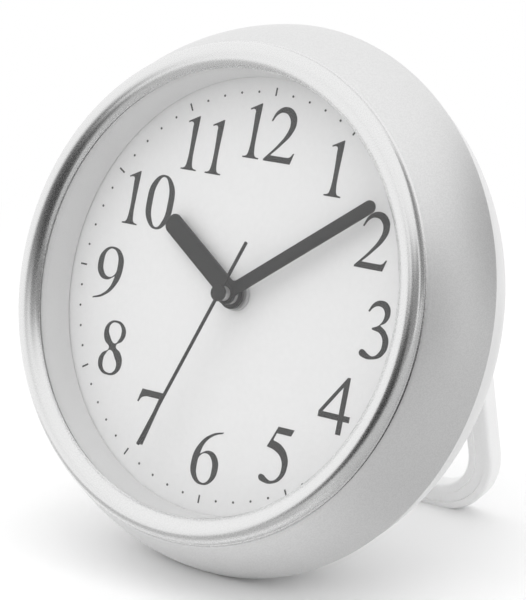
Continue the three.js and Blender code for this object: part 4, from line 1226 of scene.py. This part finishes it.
@dataclass
class Hands:
    """The three hands with their metal collets, and the nut that holds the movement."""

    hour_deg: float = 303.2
    minute_deg: float = 54.0
    second_deg: float = 201.6
    hour_width: float = 6.4
    hour_length: float = 35.0
    hour_corner: float = 2.4
    hour_hub: float = 4.3
    hour_bore: float = 2.3
    minute_width: float = 4.0
    minute_length: float = 58.2
    minute_hub: float = 3.2
    minute_bore: float = 1.5
    second_width: float = 1.1
    second_length: float = 54.1
    second_tail: float = 17.7
    second_boss: float = 2.6
    second_bore: float = 0.7
    second_collet: float = 2.15
    needle_levels: tuple[float, float] = (9.05, 9.55)
    collet_wall: float = 0.6
    collet_rise: float = 0.95
    hub_rise: float = 0.1
    thickness: float = 0.8
    soft_edge: float = 0.15
    edge_steps: int = 3
    nut_wall: float = 1.3

    def build(self) -> None:
        """Makes the hands, their collets and the nut."""
        hour, minute = head_box("hour_hand"), head_box("minute_hand")
        plate = self.plate(
            self.hour_width, self.hour_length, self.hour_corner, hour.high.z,
            self.hour_hub, self.hour_bore,
        )
        self.place("hour_plate", plate, HAND_PAINT, "hours", self.hour_deg, ["hour_hand"])
        collet = self.sleeve(self.hour_bore, self.collet_wall, hour.low.z, hour.high.z + self.collet_rise)
        self.place("hour_collet", collet, PLATED, "hours", self.hour_deg)
        plate = self.plate(
            self.minute_width, self.minute_length, self.minute_width / 2, minute.high.z,
            self.minute_hub, self.minute_bore,
        )
        self.place("minute_plate", plate, HAND_PAINT, "minutes", self.minute_deg, ["minute_hand"])
        collet = self.sleeve(self.minute_bore, self.collet_wall, minute.low.z, minute.high.z)
        self.place("minute_collet", collet, PLATED, "minutes", self.minute_deg)
        needle = self.needle()
        self.place("second_needle", needle, HAND_PAINT, "seconds", self.second_deg, ["second_hand"])
        second = head_box("second_hand")
        wall = self.second_collet - self.second_bore
        collet = self.sleeve(self.second_bore, wall, second.low.z, self.needle_levels[0])
        self.place("second_collet", collet, PLATED, "seconds", self.second_deg)
        nut = head_box("bush_nut")
        ring = self.sleeve(nut.high.x - self.nut_wall, self.nut_wall, nut.low.z, nut.high.z)
        finished("dial_nut", ring, PLATED, "case", ["bush_nut"])

    @staticmethod
    def place(
        name: str,
        shell: bmesh.types.BMesh,
        finish: Finish,
        body: str,
        degrees: float,
        nodes: Sequence[str] = (),
    ) -> None:
        """Turns a piece that points to the twelve to the time shown.

        Args:
            name: Name of the piece.
            shell: Its mesh.
            finish: Its surface.
            body: Body that it rides on.
            degrees: Angle clockwise from the twelve.
            nodes: Solids that it stands for.
        """
        turn = Matrix.Rotation(-math.radians(degrees), 4, "Z")
        finished(name, shell, finish, body, nodes, HEAD @ turn)

    def plate(
        self,
        width: float,
        length: float,
        tip: float,
        top: float,
        hub: float,
        bore: float,
    ) -> bmesh.types.BMesh:
        """Makes a flat hand with a round hub.

        Args:
            width: Width of the hand.
            length: Reach from its axis.
            tip: Radius of the tip's corners.
            top: Level of its front.
            hub: Radius of the hub.
            bore: Radius of the bore.

        Returns:
            The hand, pointing to the twelve.
        """
        low = top - self.thickness
        bar = rounded_plate(width / 2, (-tip, length), tip, (low, top), self.soft_edge)
        disc = rod(hub, low - self.hub_rise, top + self.hub_rise, edge=self.soft_edge)
        hole = rod(bore, low - OVERSHOOT, top + OVERSHOOT)
        return carved(bar, [("UNION", disc), ("DIFFERENCE", hole)])

    def sleeve(self, bore: float, wall: float, low: float, high: float) -> bmesh.types.BMesh:
        """Spins a short tube with broken outer edges.

        Args:
            bore: Inner radius.
            wall: Thickness.
            low: Lower end.
            high: Upper end.

        Returns:
            The tube.
        """
        outer, soft = bore + wall, self.soft_edge
        return spun([
            (bore, low),
            *arc((outer - soft, low + soft), soft, -90, 0, self.edge_steps),
            *arc((outer - soft, high - soft), soft, 0, 90, self.edge_steps),
            (bore, high),
        ], SMALL_TURN)

    def needle(self) -> bmesh.types.BMesh:
        """Makes the thin second hand with its tail and round boss.

        Returns:
            The hand, pointing to the twelve.
        """
        box, half = head_box("second_hand"), self.second_width / 2
        bar = rounded_plate(
            half, (-self.second_tail, self.second_length), half / 2, self.needle_levels, self.soft_edge,
        )
        foot = self.needle_levels[0] - self.soft_edge
        boss = rod(self.second_boss, foot, box.high.z, edge=3 * self.soft_edge)
        return carved(bar, [("UNION", boss)])


@dataclass
class Stand:
    """The white loop that swings out of the back on two pins."""

    opened_deg: float = 29.4
    reach: float = 49.5
    width: float = 9.0
    depth: float = 6.7
    corner: float = 24.2
    edge: float = 1.2
    edge_steps: int = 5
    end_steps: int = 3
    channel_width: float = 3.6
    channel_depth: float = 0.5
    pin_radius: float = 2.1
    bend_steps: int = 24
    table_size: float = 400.0

    def build(self) -> None:
        """Makes the loop with its pins, cut flat where it meets the table."""
        opened = Matrix.Rotation(math.radians(self.opened_deg), 4, "X")
        place = HEAD @ Matrix.Translation(STAND_HINGE) @ opened
        table, size = bmesh.new(), self.table_size * MM
        sunk = Matrix.Translation((0, 0, -size / 2))
        bmesh.ops.create_cube(table, size=size, matrix=place.inverted() @ sunk)
        steps = [("UNION", self.pin(side)) for side in (-1, 1)]
        loop = carved(self.loop(place), [*steps, ("DIFFERENCE", table)])
        # The loop's white plastic is painted brighter than the cover's, as painted light on its shaded
        # faces.
        finished("stand_bow", loop, STAND_PLASTIC_PAINTED_LIGHT, "stand", ["stand_loop"], place)

    def section(self) -> list[Point]:
        """Draws the bar's section: a soft rectangle with a shallow channel along its front.

        Returns:
            Points of x and depth, all the way round.
        """
        x, z = self.reach - self.width / 2, self.depth / 2 - self.edge
        side, half = self.width / 2 - self.edge, self.channel_width / 2
        front = self.depth / 2
        corners = [
            *arc((x + side, -z), self.edge, -90, 0, self.edge_steps),
            *arc((x + side, z), self.edge, 0, 90, self.edge_steps),
        ]
        mirrored = [(2 * x - px, pz) for px, pz in reversed(corners)]
        slope = self.channel_depth / 2
        channel = [
            (x + half, front), (x + half - slope, front - self.channel_depth),
            (x - half + slope, front - self.channel_depth), (x - half, front),
        ]
        return [*corners, *channel, *mirrored]

    def loop(self, place: Matrix) -> bmesh.types.BMesh:
        """Sweeps the section down one leg, round the foot and up the other leg.

        Args:
            place: Matrix from the stand to the frame.

        Returns:
            The closed loop.
        """
        down = (place.to_3x3() @ Vector((0, -1, 0))).normalized()
        lean = math.acos(-down.z)
        height = place.translation.z / MM
        length = (height + self.depth / 2 * math.sin(lean)) / math.cos(lean)
        bend, top = self.reach - self.corner, self.depth / 2
        bow = bmesh.new()
        verts = [bow.verts.new((x, top, z)) for x, z in self.section()]
        edges = [bow.edges.new(pair) for pair in zip(verts, [*verts[1:], verts[0]])]
        leg = top + length - self.corner
        first = list(edges)
        edges = self.push(bow, edges, (0, -leg, 0))
        edges = self.curl(bow, edges, (bend, self.corner - length, 0))
        edges = self.push(bow, edges, (-2 * bend, 0, 0))
        edges = self.curl(bow, edges, (-bend, self.corner - length, 0))
        last = self.push(bow, edges, (0, leg, 0))
        ends = [bmesh.ops.contextual_create(bow, geom=rim)["faces"][0] for rim in (first, last)]
        closed(bow)
        rims = {edge for face in ends for edge in face.edges}
        rounded(bow, rims, self.channel_depth, self.end_steps)
        return bow

    @staticmethod
    def push(
        bow: bmesh.types.BMesh,
        rim: list[bmesh.types.BMEdge],
        step: tuple[float, float, float],
    ) -> list[bmesh.types.BMEdge]:
        """Extrudes a rim straight on.

        Args:
            bow: Mesh that is changed.
            rim: Edges of the rim.
            step: Way that it goes.

        Returns:
            The new rim.
        """
        grown = bmesh.ops.extrude_edge_only(bow, edges=rim)["geom"]
        verts = [item for item in grown if isinstance(item, bmesh.types.BMVert)]
        bmesh.ops.translate(bow, verts=verts, vec=step)
        ahead = set(verts)
        return [e for e in grown if isinstance(e, bmesh.types.BMEdge) and set(e.verts) <= ahead]

    def curl(
        self,
        bow: bmesh.types.BMesh,
        rim: list[bmesh.types.BMEdge],
        centre: tuple[float, float, float],
    ) -> list[bmesh.types.BMEdge]:
        """Sweeps a rim a quarter turn about the centre of a corner.

        Args:
            bow: Mesh that is changed.
            rim: Edges of the rim.
            centre: Centre of the corner.

        Returns:
            The new rim.
        """
        verts = list({vert for edge in rim for vert in edge.verts})
        ahead = bmesh.ops.spin(
            bow, geom=verts + rim, cent=centre, axis=(0, 0, 1), angle=-QUARTER, steps=self.bend_steps,
        )["geom_last"]
        return [item for item in ahead if isinstance(item, bmesh.types.BMEdge)]

    def pin(self, side: int) -> bmesh.types.BMesh:
        """Makes the hinge pin of one leg, from inside the lug into the leg.

        Args:
            side: 1 for the right leg and -1 for the left one.

        Returns:
            The pin.
        """
        pin = rod(self.pin_radius, Back.lug_inner, self.reach - self.width + self.edge)
        turn = Matrix.Rotation(side * QUARTER, 4, "Y")
        bmesh.ops.transform(pin, matrix=turn, verts=pin.verts)
        return pin


def dress_kept() -> None:
    """Gives every solid that is kept its procedural finish."""
    for finish, names in KEPT_NODES.items():
        for name in names:
            node = frame["nodes"][name]
            node.data.materials.clear()
            node.data.materials.append(finish.material())
            LOG.info("%s: %s", name, finish.name)


@dataclass(frozen=True)
class Lamp:
    """A soft rectangular light that looks at the clock."""

    name: str
    at: tuple[float, float, float]
    size: tuple[float, float]
    power: float


@dataclass(frozen=True)
class Card:
    """A panel that only shows in the shiny pieces."""

    name: str
    at: tuple[float, float, float]
    facing: tuple[float, float, float]
    size: tuple[float, float]
    finish: Finish


@dataclass
class Studio:
    """Pale floor, white surroundings, soft lights, mirror cards and the camera."""

    azimuth_deg: float = 38.683
    elevation_deg: float = 16.561
    roll_deg: float = -1.069
    distance: float = 0.74698
    shift_right: float = 0.007289
    shift_up: float = -0.001209
    lens_mm: float = 148.2
    sensor_mm: float = 36.0
    floor_size: float = 4.0
    floor_grey: float = 246.0
    floor_rough: float = 0.6
    fade: tuple[float, float] = (0.12, 0.45)
    ambient: float = 0.95
    card_half: float = 0.5
    card_fade: float = 0.13
    lamps: tuple[Lamp, ...] = (
        Lamp("key light", (-0.2, -0.9, 1.2), (1.7, 1.4), 5.5),
        Lamp("top light", (0.1, 0.1, 1.3), (1.0, 1.0), 3.0),
        Lamp("back light", (0.8, 0.9, 0.6), (0.7, 0.7), 0.4),
    )
    cards: tuple[Card, ...] = (
        Card("front card", (0.25, -0.8, 0.15), (0.0, 1.0, 0.0), (1.34, 0.58), CARD_DARK),
        Card("front floor card", (0.255, -0.56, 0.003), (0.0, 0.0, 1.0), (0.74, 0.72), CARD_DARK),
        Card("camera card", (0.64, -1.02, 0.5), (-0.53, 0.85, 0.0), (0.9, 1.1), CARD_GREY),
        Card("right card", (0.8, -0.25, 0.2), (-0.95, 0.3, 0.0), (0.92, 1.0), CARD_GREY),
        Card("back card", (0.55, 0.65, 0.3), (-0.64, -0.76, 0.0), (1.0, 0.8), CARD_GREY),
        Card("right floor card", (0.33, 0.045, 0.002), (0.0, 0.0, 1.0), (0.62, 0.72), CARD_PALE),
        Card("left floor card", (-0.075, -0.185, 0.0025), (0.0, 0.0, 1.0), (0.32, 0.27), CARD_PALE),
    )

    def build(self) -> None:
        """Sets up everything round the clock."""
        target = HEAD.translation
        self.floor()
        for card in self.cards:
            self.stand_card(card)
        for lamp in self.lamps:
            self.light(lamp, target)
        self.surroundings()
        self.camera(target)
        bpy.context.scene.view_settings.view_transform = "Standard"

    def floor(self) -> None:
        """Lays a pale floor that fades to white away from the clock."""
        floor = self.staged("floor", self.floor_size / 2)
        made = bpy.data.materials.new("pale floor")
        made.use_nodes = True
        tree = made.node_tree
        nodes, links = tree.nodes, tree.links
        paper = nodes["Principled BSDF"]
        paper.inputs["Base Color"].default_value = srgb(self.floor_grey)
        paper.inputs["Roughness"].default_value = self.floor_rough
        paper.inputs["Specular IOR Level"].default_value = 0.0
        white = nodes.new("ShaderNodeEmission")
        place = nodes.new("ShaderNodeTexCoord")
        length = nodes.new("ShaderNodeVectorMath")
        length.operation = "LENGTH"
        links.new(place.outputs["Object"], length.inputs[0])
        share = eased(tree, length.outputs["Value"], *self.fade)
        surface = mixed(tree, share, paper.outputs["BSDF"], white.outputs["Emission"])
        links.new(surface, nodes["Material Output"].inputs["Surface"])
        floor.data.materials.append(made)

    def stand_card(self, card: Card) -> None:
        """Sets up one card.

        Args:
            card: Its place, size and finish.
        """
        facing = Vector(card.facing).to_track_quat("Z", "Y").to_matrix().to_4x4()
        spread = Matrix.Diagonal((*card.size, 1.0, 1.0))
        item = self.staged(card.name, self.card_half)
        item.matrix_world = Matrix.Translation(card.at) @ facing @ spread
        item.data.materials.append(self.faded(card.finish))
        item.visible_camera = False
        item.visible_shadow = False
        item.visible_diffuse = False

    def faded(self, finish: Finish) -> bpy.types.Material:
        """Makes a card's material, which grows clear towards the edges of the card.

        Args:
            finish: Finish of the card.

        Returns:
            The material.
        """
        found = bpy.data.materials.get(finish.name)
        if found is not None:
            return found
        made = finish.material()
        tree = made.node_tree
        nodes, links = tree.nodes, tree.links
        place = nodes.new("ShaderNodeTexCoord")
        apart = nodes.new("ShaderNodeSeparateXYZ")
        links.new(place.outputs["Object"], apart.inputs["Vector"])
        surface = nodes["Principled BSDF"].outputs["BSDF"]
        for side in ("X", "Y"):
            reach = nodes.new("ShaderNodeMath")
            reach.operation = "ABSOLUTE"
            links.new(apart.outputs[side], reach.inputs[0])
            share = eased(tree, reach.outputs["Value"], self.card_half - self.card_fade, self.card_half)
            clear = nodes.new("ShaderNodeBsdfTransparent")
            surface = mixed(tree, share, surface, clear.outputs["BSDF"])
        links.new(surface, nodes["Material Output"].inputs["Surface"])
        return made

    @staticmethod
    def staged(name: str, half: float) -> bpy.types.Object:
        """Makes a square sheet of the studio, which is no part of the clock.

        Args:
            name: Name of the sheet.
            half: Half its width.

        Returns:
            The new object.
        """
        sheet = bmesh.new()
        bmesh.ops.create_grid(sheet, x_segments=1, y_segments=1, size=half)
        item = linked(name, sheet)
        return item

    @staticmethod
    def light(lamp: Lamp, target: Vector) -> None:
        """Hangs one soft light that leaves no glare in the shiny pieces.

        Args:
            lamp: Its place, size and power.
            target: Point that it looks at.
        """
        data = bpy.data.lights.new(lamp.name, "AREA")
        data.shape = "RECTANGLE"
        data.size, data.size_y = lamp.size
        data.energy = lamp.power
        item = bpy.data.objects.new(lamp.name, data)
        item.location = lamp.at
        item.rotation_euler = (target - Vector(lamp.at)).to_track_quat("-Z", "Y").to_euler()
        item.visible_glossy = False
        bpy.context.scene.collection.objects.link(item)

    def surroundings(self) -> None:
        """Makes the world white to the eye and in mirrors, and a soft ambient light elsewhere."""
        world = bpy.data.worlds.new("studio")
        world.use_nodes = True
        bpy.context.scene.world = world
        tree = world.node_tree
        soft, white = tree.nodes["Background"], tree.nodes.new("ShaderNodeBackground")
        for light, strength in ((soft, self.ambient), (white, 1.0)):
            light.inputs["Color"].default_value = WHITE
            light.inputs["Strength"].default_value = strength
        path = tree.nodes.new("ShaderNodeLightPath")
        seen = path.outputs["Is Camera Ray"]
        for kind in ("Is Glossy Ray", "Is Transmission Ray"):
            seen = either(tree, seen, path.outputs[kind])
        sky = mixed(tree, seen, soft.outputs["Background"], white.outputs["Background"])
        tree.links.new(sky, tree.nodes["World Output"].inputs["Surface"])

    def camera(self, target: Vector) -> None:
        """Sets the camera.

        Args:
            target: Point that the camera's place is measured from.
        """
        turn, rise = math.radians(self.azimuth_deg), math.radians(self.elevation_deg)
        roll = math.radians(self.roll_deg)
        level = Vector((math.cos(turn), math.sin(turn), 0))
        flat = math.cos(rise)
        away = Vector((math.sin(turn) * flat, -math.cos(turn) * flat, math.sin(rise)))
        right = level * math.cos(roll) + away.cross(level) * math.sin(roll)
        upward = away.cross(right)
        data = bpy.data.cameras.new("camera")
        data.lens = self.lens_mm
        data.sensor_fit = "VERTICAL"
        data.sensor_height = self.sensor_mm
        item = bpy.data.objects.new("camera", data)
        place = target + away * self.distance + right * self.shift_right + upward * self.shift_up
        axes = Matrix((right, upward, away)).transposed().to_4x4()
        item.matrix_world = Matrix.Translation(place) @ axes
        bpy.context.scene.collection.objects.link(item)
        bpy.context.scene.camera = item


def main() -> None:
    """Builds the clock's visual model and the studio."""
    logging.basicConfig(level=logging.INFO)
    for assembly in (Front(), Dial(), Case(), Back(), Hands(), Stand()):
        assembly.build()
    dress_kept()
    Studio().build()


if __name__ == "__main__":
    main()
